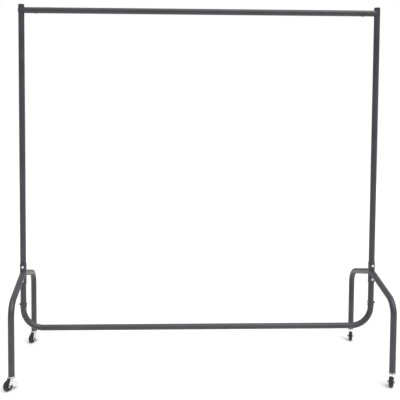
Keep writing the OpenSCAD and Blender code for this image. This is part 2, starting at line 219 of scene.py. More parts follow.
def combined(piece: Piece, tool: Piece, how: str) -> Piece:
    """Joins, cuts or crops a piece with another one, which is used up.

    Args:
        piece: the piece that stays.
        tool: the piece that is used up.
        how: UNION, DIFFERENCE or INTERSECT.

    Returns:
        The first piece.
    """
    use_modifier(piece, "BOOLEAN", operation=how, solver="EXACT", object=tool)
    bpy.data.objects.remove(tool, do_unlink=True)
    return piece


def cut(piece: Piece, tool: Piece) -> Piece:
    """Takes the tool's shape out of the piece."""
    return combined(piece, tool, "DIFFERENCE")


def fused(piece: Piece, tool: Piece) -> Piece:
    """Makes the piece and the tool one solid."""
    return combined(piece, tool, "UNION")


def cropped(piece: Piece, tool: Piece) -> Piece:
    """Keeps what lies in both the piece and the tool."""
    return combined(piece, tool, "INTERSECT")


def joined(name: str, parts: Sequence[Piece]) -> Piece:
    """Makes one object of several, without welding them.

    Args:
        name: the new piece's name.
        parts: the pieces to put together.

    Returns:
        The one piece.
    """
    only(*parts)
    if len(parts) > 1:
        bpy.ops.object.join()
    piece = bpy.context.object
    piece.name = name
    return piece


def bevelled(piece: Piece, width: float, steps: int = 2, angle: float = 35.0) -> Piece:
    """Rounds the sharp edges of a piece.

    Args:
        piece: the piece to round.
        width: the bevel's width in metres.
        steps: how many faces the bevel has across.
        angle: only edges sharper than this many degrees are rounded.

    Returns:
        The same piece.
    """
    use_modifier(
        piece,
        "BEVEL",
        width=width,
        segments=steps,
        limit_method="ANGLE",
        angle_limit=math.radians(angle),
        use_clamp_overlap=True,
    )
    return piece


def finished(piece: Piece, angle: float = 32.0) -> Piece:
    """Cleans a piece's mesh and smooths its shading where it is round.

    Args:
        piece: the piece to finish.
        angle: edges sharper than this many degrees stay sharp.

    Returns:
        The same piece, at the origin and unturned.
    """
    with editing(piece):
        bpy.ops.mesh.select_all(action="SELECT")
        bpy.ops.mesh.remove_doubles(threshold=0.001 * MM)
        bpy.ops.mesh.select_all(action="SELECT")
        bpy.ops.mesh.normals_make_consistent(inside=False)
    only(piece)
    bpy.ops.object.transform_apply(location=True, rotation=True, scale=True)
    bpy.ops.object.shade_smooth_by_angle(angle=math.radians(angle))
    return piece


def placed_copy(piece: Piece, name: str, place: Matrix) -> Piece:
    """Copies a piece with a mesh of its own, and puts the copy's place into that mesh.

    Args:
        piece: the piece to copy.
        name: the copy's name.
        place: where the copy goes.

    Returns:
        The copy, at the origin and unturned.
    """
    copy = piece.copy()
    copy.data = piece.data.copy()
    copy.name = name
    bpy.context.scene.collection.objects.link(copy)
    copy.data.transform(place)
    copy.data.update()
    return copy


def arc(centre: Flat, radius: float, start: float, end: float, steps: int) -> list[Flat]:
    """Points along an arc.

    Args:
        centre: the arc's centre.
        radius: the arc's radius.
        start: the first point's angle in degrees.
        end: the last point's angle in degrees.
        steps: how many equal steps the arc is cut into.

    Returns:
        The points, both ends included.
    """
    angles = (math.radians(start + (end - start) * i / steps) for i in range(steps + 1))
    return [(centre[0] + radius * math.cos(a), centre[1] + radius * math.sin(a)) for a in angles]


def rounded(before: Flat, corner: Flat, after: Flat, radius: float, steps: int = 8) -> list[Flat]:
    """Points that round one corner of an outline.

    Args:
        before: the outline's point before the corner.
        corner: the sharp corner.
        after: the outline's point after it.
        radius: the radius of the rounding.
        steps: how many equal steps the rounding is cut into.

    Returns:
        The points of the arc that touches both sides of the corner.
    """
    tip = Vector(corner)
    back, ahead = (Vector(before) - tip).normalized(), (Vector(after) - tip).normalized()
    half = back.angle(ahead) / 2
    centre = tip + (back + ahead).normalized() * radius / math.sin(half)
    start = tip + back * radius / math.tan(half) - centre
    sweep = start.angle_signed(tip + ahead * radius / math.tan(half) - centre)
    turned = (start @ Matrix.Rotation(sweep * i / steps, 2) for i in range(steps + 1))
    return [tuple(centre + point) for point in turned]


# ---- Finishes ----


class Nodes:
    """Lays out and links shader nodes in one tree."""

    def __init__(self, tree: Tree) -> None:
        """Takes the tree to build in."""
        self.tree = tree

    def add(self, kind: str, **settings: object) -> Node:
        """Adds one node.

        Args:
            kind: the node's type.
            settings: the node's own properties.

        Returns:
            The node.
        """
        node = self.tree.nodes.new(kind)
        node.location = (180 * (len(self.tree.nodes) % 8), -220 * (len(self.tree.nodes) // 8))
        for name, value in settings.items():
            setattr(node, name, value)
        return node

    def feed(self, node: Node, **sources: object) -> Node:
        """Links or sets a node's inputs.

        Args:
            node: the node whose inputs are fed.
            sources: input name, with underscores for spaces, to a socket or a value.

        Returns:
            The same node.
        """
        for name, source in sources.items():
            self.put(node.inputs[name.replace("_", " ")], source)
        return node

    def put(self, socket: Socket, source: object) -> None:
        """Links one input to an output socket, or sets its value.

        Args:
            socket: the input.
            source: an output socket or a plain value.
        """
        if isinstance(source, Socket):
            self.tree.links.new(source, socket)
        else:
            socket.default_value = source

    def math(self, how: str, a: object, b: object = 0.0, clamp: bool = False) -> Socket:
        """Adds a Math node.

        Args:
            how: the operation.
            a: its first input.
            b: its second input.
            clamp: whether the result stays between 0 and 1.

        Returns:
            The result's socket.
        """
        node = self.add("ShaderNodeMath", operation=how, use_clamp=clamp)
        self.put(node.inputs[0], a)
        self.put(node.inputs[1], b)
        return node.outputs[0]

    def spread(self, value: object, low: float, high: float, to_low: float, to_high: float) -> Socket:
        """Maps a value from one range to another, and holds it inside.

        Args:
            value: the socket to map.
            low: the value that becomes to_low.
            high: the value that becomes to_high.
            to_low: the lowest result.
            to_high: the highest result.

        Returns:
            The result's socket.
        """
        node = self.add("ShaderNodeMapRange", clamp=True)
        self.feed(node, Value=value, From_Min=low, From_Max=high, To_Min=to_low, To_Max=to_high)
        return node.outputs["Result"]

    def noise(self, where: object, scale: float, detail: float = 3.0, rough: float = 0.5) -> Socket:
        """Adds a noise of a given fineness.

        Args:
            where: the coordinates it reads.
            scale: features per metre.
            detail: how many finer layers it has.
            rough: how strong the finer layers are.

        Returns:
            The noise value's socket.
        """
        node = self.add("ShaderNodeTexNoise", noise_dimensions="3D")
        self.feed(node, Vector=where, Scale=scale, Detail=detail, Roughness=rough)
        return node.outputs["Fac"]

    def blend(self, share: object, a: object, b: object) -> Socket:
        """Mixes two colours.

        Args:
            share: how much of the second colour shows.
            a: the first colour.
            b: the second colour.

        Returns:
            The mixed colour's socket.
        """
        node = self.add("ShaderNodeMix", data_type="RGBA", blend_type="MIX")
        self.put(node.inputs[0], share)
        self.put(node.inputs[6], a)
        self.put(node.inputs[7], b)
        return node.outputs[2]


def colour(red: float, green: float, blue: float) -> Colour:
    """A solid colour from its three linear parts."""
    return (red, green, blue, 1.0)


def shade(tone: Tone, by: float) -> Colour:
    """A tone made lighter or darker by a factor."""
    return colour(*(part * by for part in tone))


class SharedEffects:
    """Shader node groups that more than one finish uses, each built once."""

    def __init__(self) -> None:
        """Starts with no group built."""
        self.built: dict[str, Tree] = {}

    def group(
        self, name: str, inputs: dict[str, float], outputs: Sequence[str]
    ) -> tuple[Nodes, Node, Node]:
        """Makes a group with named number inputs and outputs, and nothing between them yet.

        Args:
            name: the group's name.
            inputs: each number input's name and usual value.
            outputs: each number output's name.

        Returns:
            A builder for the group, its input node and its output node.
        """
        tree = bpy.data.node_groups.new(name, "ShaderNodeTree")
        tree.interface.new_socket("Where", in_out="INPUT", socket_type="NodeSocketVector")
        for label, value in inputs.items():
            socket = tree.interface.new_socket(label, in_out="INPUT", socket_type="NodeSocketFloat")
            socket.default_value = value
        for label in outputs:
            tree.interface.new_socket(label, in_out="OUTPUT", socket_type="NodeSocketFloat")
        self.built[name] = tree
        nodes = Nodes(tree)
        return nodes, nodes.add("NodeGroupInput"), nodes.add("NodeGroupOutput")

    def fine_grain(self) -> Tree:
        """The soft pebbling of a sprayed or moulded skin.

        Returns:
            A group that puts out a height and a slow drift, both from 0 to 1.
        """
        if "fine_grain" in self.built:
            return self.built["fine_grain"]
        inputs = {"Grains per metre": 900.0, "Sharpness": 0.5}
        nodes, given, result = self.group("fine_grain", inputs, ["Height", "Drift"])
        where, grains = given.outputs["Where"], given.outputs["Grains per metre"]
        pebbles = nodes.add("ShaderNodeTexVoronoi", feature="SMOOTH_F1")
        nodes.feed(pebbles, Vector=where, Scale=grains, Smoothness=0.8)
        finer = nodes.math("MULTIPLY", grains, 2.3)
        fine = nodes.noise(where, 1.0, 2.0)
        nodes.feed(fine.node, Scale=finer, Roughness=given.outputs["Sharpness"])
        coarse_part = nodes.math("MULTIPLY", pebbles.outputs["Distance"], 0.6)
        fine_part = nodes.math("MULTIPLY", fine, 0.5)
        height = nodes.math("ADD", coarse_part, fine_part)
        nodes.feed(result, Height=height, Drift=nodes.noise(where, 9.0, 3.0))
        return nodes.tree

    def fine_scratches(self) -> Tree:
        """Sparse hairline scratches that run several ways.

        Returns:
            A group that puts out 1 on a scratch and 0 elsewhere.
        """
        if "fine_scratches" in self.built:
            return self.built["fine_scratches"]
        inputs = {"Per metre": 40.0, "Amount": 0.5}
        nodes, given, result = self.group("fine_scratches", inputs, ["Scratch"])
        turns = ((0.3, 0.2, 0.5), (0.9, -0.4, 1.9))
        stretches = ((1.0, 14.0, 14.0), (12.0, 1.0, 12.0))
        layers = []
        for turn, stretch in zip(turns, stretches):
            mapping = nodes.add("ShaderNodeMapping")
            nodes.feed(mapping, Vector=given.outputs["Where"], Rotation=turn, Scale=stretch)
            streak = nodes.noise(mapping.outputs["Vector"], 1.0, 2.0)
            nodes.put(streak.node.inputs["Scale"], given.outputs["Per metre"])
            layers.append(nodes.spread(streak, 0.70, 0.76, 0.0, 1.0))
        either = nodes.math("MAXIMUM", *layers)
        scratch = nodes.math("MULTIPLY", either, given.outputs["Amount"], clamp=True)
        nodes.feed(result, Scratch=scratch)
        return nodes.tree

    def floor_dust(self) -> Tree:
        """Fine dust that gathers low down and thins out higher up.

        Returns:
            A group that puts out how much dust lies at a place.
        """
        if "floor_dust" in self.built:
            return self.built["floor_dust"]
        nodes, given, result = self.group("floor_dust", {"Top": 0.06, "Amount": 0.3}, ["Dust"])
        parts = nodes.add("ShaderNodeSeparateXYZ")
        nodes.put(parts.inputs[0], given.outputs["Where"])
        level = nodes.math("DIVIDE", parts.outputs["Z"], given.outputs["Top"])
        low = nodes.math("SUBTRACT", 1.0, level, clamp=True)
        speckle = nodes.noise(given.outputs["Where"], 160.0, 4.0, 0.6)
        patches = nodes.math("MULTIPLY", low, nodes.spread(speckle, 0.42, 0.68, 0.0, 1.0))
        nodes.feed(result, Dust=nodes.math("MULTIPLY", patches, given.outputs["Amount"], clamp=True))
        return nodes.tree


EFFECTS = SharedEffects()


@dataclass(frozen=True)
class Finish:
    """What every finish has: a name, the record's slot, and a way to make the material."""

    name: str
    slot: str

    def start(self) -> tuple[Material, Nodes, Node, Socket]:
        """Makes an empty material with a Principled shader.

        Returns:
            The material, a node builder, the shader, and the object coordinates.
        """
        material = bpy.data.materials.new(self.name)
        material.use_nodes = True
        material.node_tree.nodes.clear()
        nodes = Nodes(material.node_tree)
        shader = nodes.add("ShaderNodeBsdfPrincipled")
        output = nodes.add("ShaderNodeOutputMaterial")
        nodes.put(output.inputs["Surface"], shader.outputs["BSDF"])
        where = nodes.add("ShaderNodeTexCoord").outputs["Object"]
        return material, nodes, shader, where

    @staticmethod
    def effect(nodes: Nodes, tree: Tree, where: Socket, **values: float) -> Node:
        """Places a shared effect in a material.

        Args:
            nodes: the material's node builder.
            tree: the effect's node group.
            where: the coordinates it reads.
            values: the effect's own inputs.

        Returns:
            The group node.
        """
        node = nodes.add("ShaderNodeGroup", node_tree=tree)
        nodes.feed(node, Where=where, **values)
        return node

    @staticmethod
    def relief(nodes: Nodes, shader: Node, height: object, depth: float, strength: float) -> None:
        """Gives a surface small relief.

        Args:
            nodes: the material's node builder.
            shader: the shader whose normal is bent.
            height: the height, from 0 to 1.
            depth: how deep the relief is, in metres.
            strength: how strongly it shows.
        """
        bump = nodes.add("ShaderNodeBump")
        nodes.feed(bump, Height=height, Distance=depth, Strength=strength)
        nodes.put(shader.inputs["Normal"], bump.outputs["Normal"])

    @staticmethod
    def scratched(nodes: Nodes, hair: Node, base: Socket, share: float, tone: Colour) -> Socket:
        """Shows a tone through the hairline scratches.

        Args:
            nodes: the material's node builder.
            hair: the scratches' group node.
            base: the colour between the scratches.
            share: how strongly the scratches show.
            tone: the colour in a scratch.

        Returns:
            The scratched colour's socket.
        """
        return nodes.blend(nodes.math("MULTIPLY", hair.outputs["Scratch"], share), base, tone)


@dataclass(frozen=True)
class PowderCoat(Finish):
    """Satin powder coat on steel tube, faintly pebbled, with a little handling wear."""

    tone: Tone = (0.0335, 0.0312, 0.0392)
    roughness: float = 0.42
    grains: float = 750.0
    scratch_tone: Colour = colour(0.16, 0.16, 0.165)
    dust_tone: Colour = colour(0.42, 0.41, 0.39)
    rub_tone: Colour = colour(0.125, 0.127, 0.132)
    rub_height: float = 0.0
    rub_depth: float = 2.2 * MM

    def make(self) -> Material:
        """Builds the material.

        Returns:
            The powder coat.
        """
        material, nodes, shader, where = self.start()
        grain = self.effect(nodes, EFFECTS.fine_grain(), where, Grains_per_metre=self.grains)
        hair = self.effect(nodes, EFFECTS.fine_scratches(), where, Per_metre=28.0, Amount=0.35)
        dust = self.effect(nodes, EFFECTS.floor_dust(), where, Top=0.5, Amount=0.05)
        drift = grain.outputs["Drift"]
        clouds = nodes.spread(drift, 0.35, 0.65, 0.0, 1.0)
        base = nodes.blend(clouds, shade(self.tone, 0.86), shade(self.tone, 1.22))
        specks = nodes.spread(nodes.noise(where, 2600.0, 1.0), 0.68, 0.78, 0.0, 0.35)
        base = nodes.blend(specks, base, shade(self.tone, 1.9))
        base = self.scratched(nodes, hair, base, 0.4, self.scratch_tone)
        rough = nodes.spread(drift, 0.3, 0.7, self.roughness - 0.04, self.roughness + 0.05)
        rough = nodes.math("ADD", rough, nodes.math("MULTIPLY", hair.outputs["Scratch"], 0.12))
        if self.rub_height > 0.0:
            rub = self.rubbed(nodes, where)
            base = nodes.blend(nodes.math("MULTIPLY", rub, 0.30), base, self.rub_tone)
            rough = nodes.math("SUBTRACT", rough, nodes.math("MULTIPLY", rub, 0.12))
        base = nodes.blend(dust.outputs["Dust"], base, self.dust_tone)
        nodes.feed(shader, Base_Color=base, Roughness=rough)
        shader.inputs["Specular IOR Level"].default_value = 0.5
        shader.inputs["Coat Weight"].default_value = 0.10
        shader.inputs["Coat Roughness"].default_value = 0.28
        self.relief(nodes, shader, grain.outputs["Height"], 0.10 * MM, 0.30)
        return material

    def rubbed(self, nodes: Nodes, where: Socket) -> Socket:
        """The line along the hanging rail's top that hanger hooks polish.

        Args:
            nodes: the material's node builder.
            where: the object coordinates.

        Returns:
            How rubbed the surface is, from 0 to 1.
        """
        parts = nodes.add("ShaderNodeSeparateXYZ")
        nodes.put(parts.inputs[0], where)
        start = self.rub_height - self.rub_depth
        top = nodes.spread(parts.outputs["Z"], start, self.rub_height, 0.0, 1.0)
        across = nodes.add("ShaderNodeMapping")
        nodes.feed(across, Vector=where, Scale=(1.0, 0.12, 0.12))
        streaks = nodes.noise(across.outputs["Vector"], 420.0, 3.0, 0.6)
        return nodes.math("MULTIPLY", top, nodes.spread(streaks, 0.48, 0.62, 0.15, 1.0))


@dataclass(frozen=True)
class ZincPlate(Finish):
    """Bright zinc plate on pressed or turned steel."""

    tone: Tone = (0.80, 0.81, 0.83)
    roughness: float = 0.27
    dusty: float = 0.25
    scratch_tone: Colour = colour(0.52, 0.53, 0.54)
    dust_tone: Colour = colour(0.36, 0.35, 0.33)

    def make(self) -> Material:
        """Builds the material.

        Returns:
            The zinc plate.
        """
        material, nodes, shader, where = self.start()
        grain = self.effect(nodes, EFFECTS.fine_grain(), where, Grains_per_metre=1500.0, Sharpness=0.6)
        hair = self.effect(nodes, EFFECTS.fine_scratches(), where, Per_metre=140.0, Amount=0.8)
        dust = self.effect(nodes, EFFECTS.floor_dust(), where, Top=0.05, Amount=self.dusty)
        cloud = nodes.noise(where, 70.0, 4.0, 0.55)
        red, green, blue = self.tone
        bluish = colour(red * 0.93, green * 0.97, blue * 1.02)
        yellowish = colour(red * 1.02, green * 0.99, blue * 0.92)
        base = nodes.blend(nodes.spread(cloud, 0.36, 0.64, 0.0, 1.0), bluish, yellowish)
        base = self.scratched(nodes, hair, base, 0.35, self.scratch_tone)
        base = nodes.blend(dust.outputs["Dust"], base, self.dust_tone)
        rough = nodes.spread(cloud, 0.3, 0.7, self.roughness - 0.05, self.roughness + 0.09)
        rough = nodes.math("ADD", rough, nodes.math("MULTIPLY", hair.outputs["Scratch"], 0.15))
        metal = nodes.math("SUBTRACT", 1.0, dust.outputs["Dust"])
        nodes.feed(shader, Base_Color=base, Roughness=rough, Metallic=metal)
        self.relief(nodes, shader, grain.outputs["Height"], 0.03 * MM, 0.25)
        return material


@dataclass(frozen=True)
class MouldedPlastic(Finish):
    """Matt moulded plastic with a fine spark-eroded grain."""

    tone: Tone = (0.022, 0.022, 0.024)
    roughness: float = 0.48
    dusty: float = 0.2
    scratch_tone: Colour = colour(0.12, 0.12, 0.12)
    dust_tone: Colour = colour(0.30, 0.29, 0.27)

    def make(self) -> Material:
        """Builds the material.

        Returns:
            The plastic.
        """
        material, nodes, shader, where = self.start()
        grain = self.effect(nodes, EFFECTS.fine_grain(), where, Grains_per_metre=2600.0, Sharpness=0.7)
        hair = self.effect(nodes, EFFECTS.fine_scratches(), where, Per_metre=90.0, Amount=0.6)
        dust = self.effect(nodes, EFFECTS.floor_dust(), where, Top=0.05, Amount=self.dusty)
        drift = grain.outputs["Drift"]
        clouds = nodes.spread(drift, 0.35, 0.65, 0.0, 1.0)
        base = nodes.blend(clouds, colour(*self.tone), shade(self.tone, 1.35))
        base = self.scratched(nodes, hair, base, 0.3, self.scratch_tone)
        base = nodes.blend(dust.outputs["Dust"], base, self.dust_tone)
        rough = nodes.spread(drift, 0.3, 0.7, self.roughness - 0.05, self.roughness + 0.08)
        nodes.feed(shader, Base_Color=base, Roughness=rough)
        self.relief(nodes, shader, grain.outputs["Height"], 0.05 * MM, 0.35)
        return material


@dataclass(frozen=True)
class TyreRubber(Finish):
    """Dark rubber with scattered scuffs all over, and a little dust low down."""

    tone: Tone = (0.011, 0.011, 0.012)
    roughness: float = 0.62
    scuff_tone: Colour = colour(0.050, 0.049, 0.047)
    dust_tone: Colour = colour(0.21, 0.20, 0.185)

    def make(self) -> Material:
        """Builds the material.

        Returns:
            The rubber.
        """
        material, nodes, shader, where = self.start()
        grain = self.effect(nodes, EFFECTS.fine_grain(), where, Grains_per_metre=1800.0, Sharpness=0.7)
        dust = self.effect(nodes, EFFECTS.floor_dust(), where, Top=0.03, Amount=0.34)
        clouds = nodes.spread(grain.outputs["Drift"], 0.35, 0.65, 0.0, 1.0)
        base = nodes.blend(clouds, colour(*self.tone), shade(self.tone, 1.6))
        scuffs = nodes.spread(nodes.noise(where, 310.0, 5.0, 0.65), 0.55, 0.72, 0.0, 0.35)
        base = nodes.blend(scuffs, base, self.scuff_tone)
        base = nodes.blend(dust.outputs["Dust"], base, self.dust_tone)
        rough = nodes.math("ADD", nodes.math("MULTIPLY", scuffs, 0.4), self.roughness)
        nodes.feed(shader, Base_Color=base, Roughness=rough)
        shader.inputs["Specular IOR Level"].default_value = 0.38
        self.relief(nodes, shader, grain.outputs["Height"], 0.08 * MM, 0.5)
        return material


@dataclass(frozen=True)
class StudioFloor(Finish):
    """The plain pale floor that the rack stands on."""

    def make(self) -> Material:
        """Builds the material.

        Returns:
            The floor's material.
        """
        material, nodes, shader, where = self.start()
        drift = nodes.noise(where, 1.5, 2.0)
        base = nodes.blend(drift, colour(0.90, 0.90, 0.90), colour(0.93, 0.93, 0.93))
        nodes.feed(shader, Base_Color=base, Roughness=0.6)
        return material


class Palette:
    """Every finish of the rack, made once."""

    def __init__(self, rail_top: float) -> None:
        """Sets out the finishes; each material is made when a piece first wears it.

        Args:
            rail_top: the height of the hanging rail's top, in metres.
        """
        self.coat = PowderCoat("powder_coat", "frame_paint")
        self.rubbed_coat = PowderCoat("powder_coat_rubbed", "frame_paint", rub_height=rail_top)
        self.zinc = ZincPlate("zinc_plate", "zinc_plate")
        self.bolt_zinc = ZincPlate("bolt_zinc", "zinc_plate", roughness=0.20, dusty=0.0)
        # The axle bolts and nuts get the zinc finish at a quarter of its brightness, so they show much
        # darker than the fork's zinc.
        self.dark_axle_zinc = ZincPlate(
            "dark_axle_zinc", "zinc_plate", tone=(0.20, 0.20, 0.21), roughness=0.34, dusty=0.1
        )
        self.balls = ZincPlate(
            "ball_steel", "zinc_plate", tone=(0.42, 0.42, 0.43), roughness=0.16, dusty=0.2
        )
        self.plastic = MouldedPlastic("black_plastic", "black_plastic")
        self.wheel = MouldedPlastic(
            "wheel_plastic", "wheel_plastic", tone=(0.016, 0.016, 0.018), roughness=0.42
        )
        self.tyre = TyreRubber("tyre_rubber", "tyre_rubber")
        self.floor = StudioFloor("studio_floor", "frame_paint")
        self.made: dict[str, Material] = {}

    def dress(self, piece: Piece, finish: Finish) -> None:
        """Gives a piece one finish all over.

        Args:
            piece: the piece to dress.
            finish: the finish it gets.
        """
        if finish.name not in self.made:
            self.made[finish.name] = finish.make()
        if not piece.data.materials:
            piece.data.materials.append(None)
        for slot in piece.material_slots:
            slot.material = self.made[finish.name]


def fit_piece(
    piece: Piece, body: str, palette: Palette, finish: Finish, replaces: Sequence[str] = ()
) -> None:
    """Dresses a new piece, and hangs it on its body in place of the nodes it stands for.

    Args:
        piece: the finished piece.
        body: the body it moves with.
        palette: the rack's finishes.
        finish: the piece's finish.
        replaces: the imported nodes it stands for.
    """
    palette.dress(piece, finish)
    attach(piece, body)
    if replaces:
        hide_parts(*replaces)
    log.info("%s: %d faces, on %s", piece.name, len(piece.data.polygons), body)


def middle(node: str) -> Vector:
    """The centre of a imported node's box."""
    low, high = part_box(node)
    return (low + high) / 2


def extent(node: str) -> Vector:
    """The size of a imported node's box."""
    low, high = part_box(node)
    return high - low


# ---- Tube frame ----


class End(Enum):
    """The rack's two ends, seen from the front."""

    LEFT = "left"
    RIGHT = "right"

    @property
    def inward(self) -> float:
        """Which way along X the rack's middle lies from this end."""
        return 1.0 if self is End.LEFT else -1.0


@dataclass
class TubeFrame:
    """The powder-coated tubes, with the weld beads that join some of them."""

    palette: Palette
    bead: float = 2.6 * MM
    bead_grain: float = 0.7 * MM
    leg_slope: float = 14.0
    tubes: tuple[str, ...] = (
        "bottom_rail", "left_upright", "right_upright", "left_stub", "right_stub", "left_sleeve",
        "right_sleeve", "front_left_leg", "rear_left_leg", "front_right_leg", "rear_right_leg",
    )

    def build(self) -> None:
        """Dresses the tubes and adds the weld beads."""
        for tube in self.tubes:
            self.palette.dress(frame["nodes"][tube], self.palette.coat)
        self.palette.dress(frame["nodes"]["hanging_rail"], self.palette.rubbed_coat)
        for end in End:
            self.rail_weld(end)
            for side in ("front", "rear"):
                self.leg_weld(end, side)

    def bead_block(
        self, name: str, start: Vector, way: Vector, tube_r: float, post_r: float
    ) -> Piece:
        """Models the bead around the mouth of a tube that meets an upright one.

        Args:
            name: the bead's name.
            start: the point on the upright tube's axis that the other tube points at.
            way: the direction in which the other tube leaves.
            tube_r: the leaving tube's outer radius.
            post_r: the upright tube's outer radius.

        Returns:
            The rounded bead.
        """
        tall = Vector((0, 0, 3 * tube_r))
        bead = rod(name, tube_r + 0.5 * self.bead, start, start + way * 2.5 * post_r, 96)
        wrap = rod("wrap", post_r + 0.5 * self.bead, start - tall, start + tall, 96)
        bead = cropped(bead, wrap)
        core = rod("core", post_r - 1.0 * MM, start - tall, start + tall, 64)
        bead = cut(bead, core)
        hollow = rod("hollow", tube_r - 1.0 * MM, start - way * tube_r, start + way * 4 * post_r, 64)
        bead = cut(bead, hollow)
        use_modifier(bead, "REMESH", mode="VOXEL", voxel_size=self.bead_grain)
        use_modifier(bead, "SMOOTH", factor=0.6, iterations=5)
        return finished(bead, 60.0)

    def rail_weld(self, end: End) -> None:
        """Adds the bead where a stub meets its upright.

        Args:
            end: which end of the rack.
        """
        post = middle(f"{end.value}_upright")
        tube_r = extent("hanging_rail").z / 2
        start = Vector((post.x, post.y, middle("hanging_rail").z))
        way = Vector((end.inward, 0, 0))
        bead = self.bead_block(f"{end.value}_rail_weld", start, way, tube_r, tube_r)
        fit_piece(bead, "frame", self.palette, self.palette.coat)

    def leg_weld(self, end: End, side: str) -> None:
        """Adds the bead where a leg meets its sleeve.

        Args:
            end: which end of the rack.
            side: front or rear.
        """
        leg = f"{side}_{end.value}_leg"
        tube_r = extent(leg).x / 2
        sleeve = middle(f"{end.value}_sleeve")
        sleeve_r = extent(f"{end.value}_sleeve").x / 2
        slope = math.radians(self.leg_slope)
        outward = -1.0 if side == "front" else 1.0
        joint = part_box(leg)[1].z - tube_r / math.cos(slope) + sleeve_r * math.tan(slope)
        start = Vector((sleeve.x, sleeve.y, joint))
        way = Vector((0, outward * math.cos(slope), -math.sin(slope)))
        bead = self.bead_block(f"{leg}_weld", start, way, tube_r, sleeve_r)
        fit_piece(bead, "frame", self.palette, self.palette.coat)


@dataclass
class EndCaps:
    """The plastic plugs in the uprights' tops."""

    palette: Palette
    edge: float = 1.9
    crown: float = 0.5
    wall: float = 1.6
    steps: int = 72

    def build(self) -> None:
        """Builds one cap for each upright."""
        for end in End:
            node = f"{end.value}_cap"
            low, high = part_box(node)
            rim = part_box(f"{end.value}_upright")[1].z
            radius = (high.x - low.x) / 2 / MM
            head = (high.z - rim) / MM
            depth = (rim - low.z) / MM
            plug = extent("hanging_rail").z / 2 / MM - self.wall
            profile = [(0.0, -depth), (plug - 1.0, -depth), (plug, 1.5 - depth)]
            profile += [(plug, 0.0), (radius, 0.0)]
            profile += arc((radius - self.edge, head - self.crown - self.edge), self.edge, 0, 78, 6)
            profile += [(radius * 0.55, head - 0.12), (0.0, head)]
            centre = Vector(((low.x + high.x) / 2, (low.y + high.y) / 2, rim))
            cap = spun(f"{end.value}_cap_head", profile, self.steps, centre, UP)
            fit_piece(finished(cap, 40.0), "frame", self.palette, self.palette.plastic, [node])


# ---- Fasteners ----


class Aim(Enum):
    """Which way a fastener's head faces."""

    FRONT = "front"
    RIGHT = "right"
    LEFT = "left"
    DOWN = "down"

    @property
    def turn(self) -> Matrix:
        """The turn that points +Z this way."""
        turns = {
            Aim.FRONT: Matrix.Rotation(math.radians(90), 4, "X"),
            Aim.RIGHT: Matrix.Rotation(math.radians(90), 4, "Y"),
            Aim.LEFT: Matrix.Rotation(math.radians(-90), 4, "Y"),
            Aim.DOWN: Matrix.Rotation(math.radians(180), 4, "X"),
        }
        return turns[self]


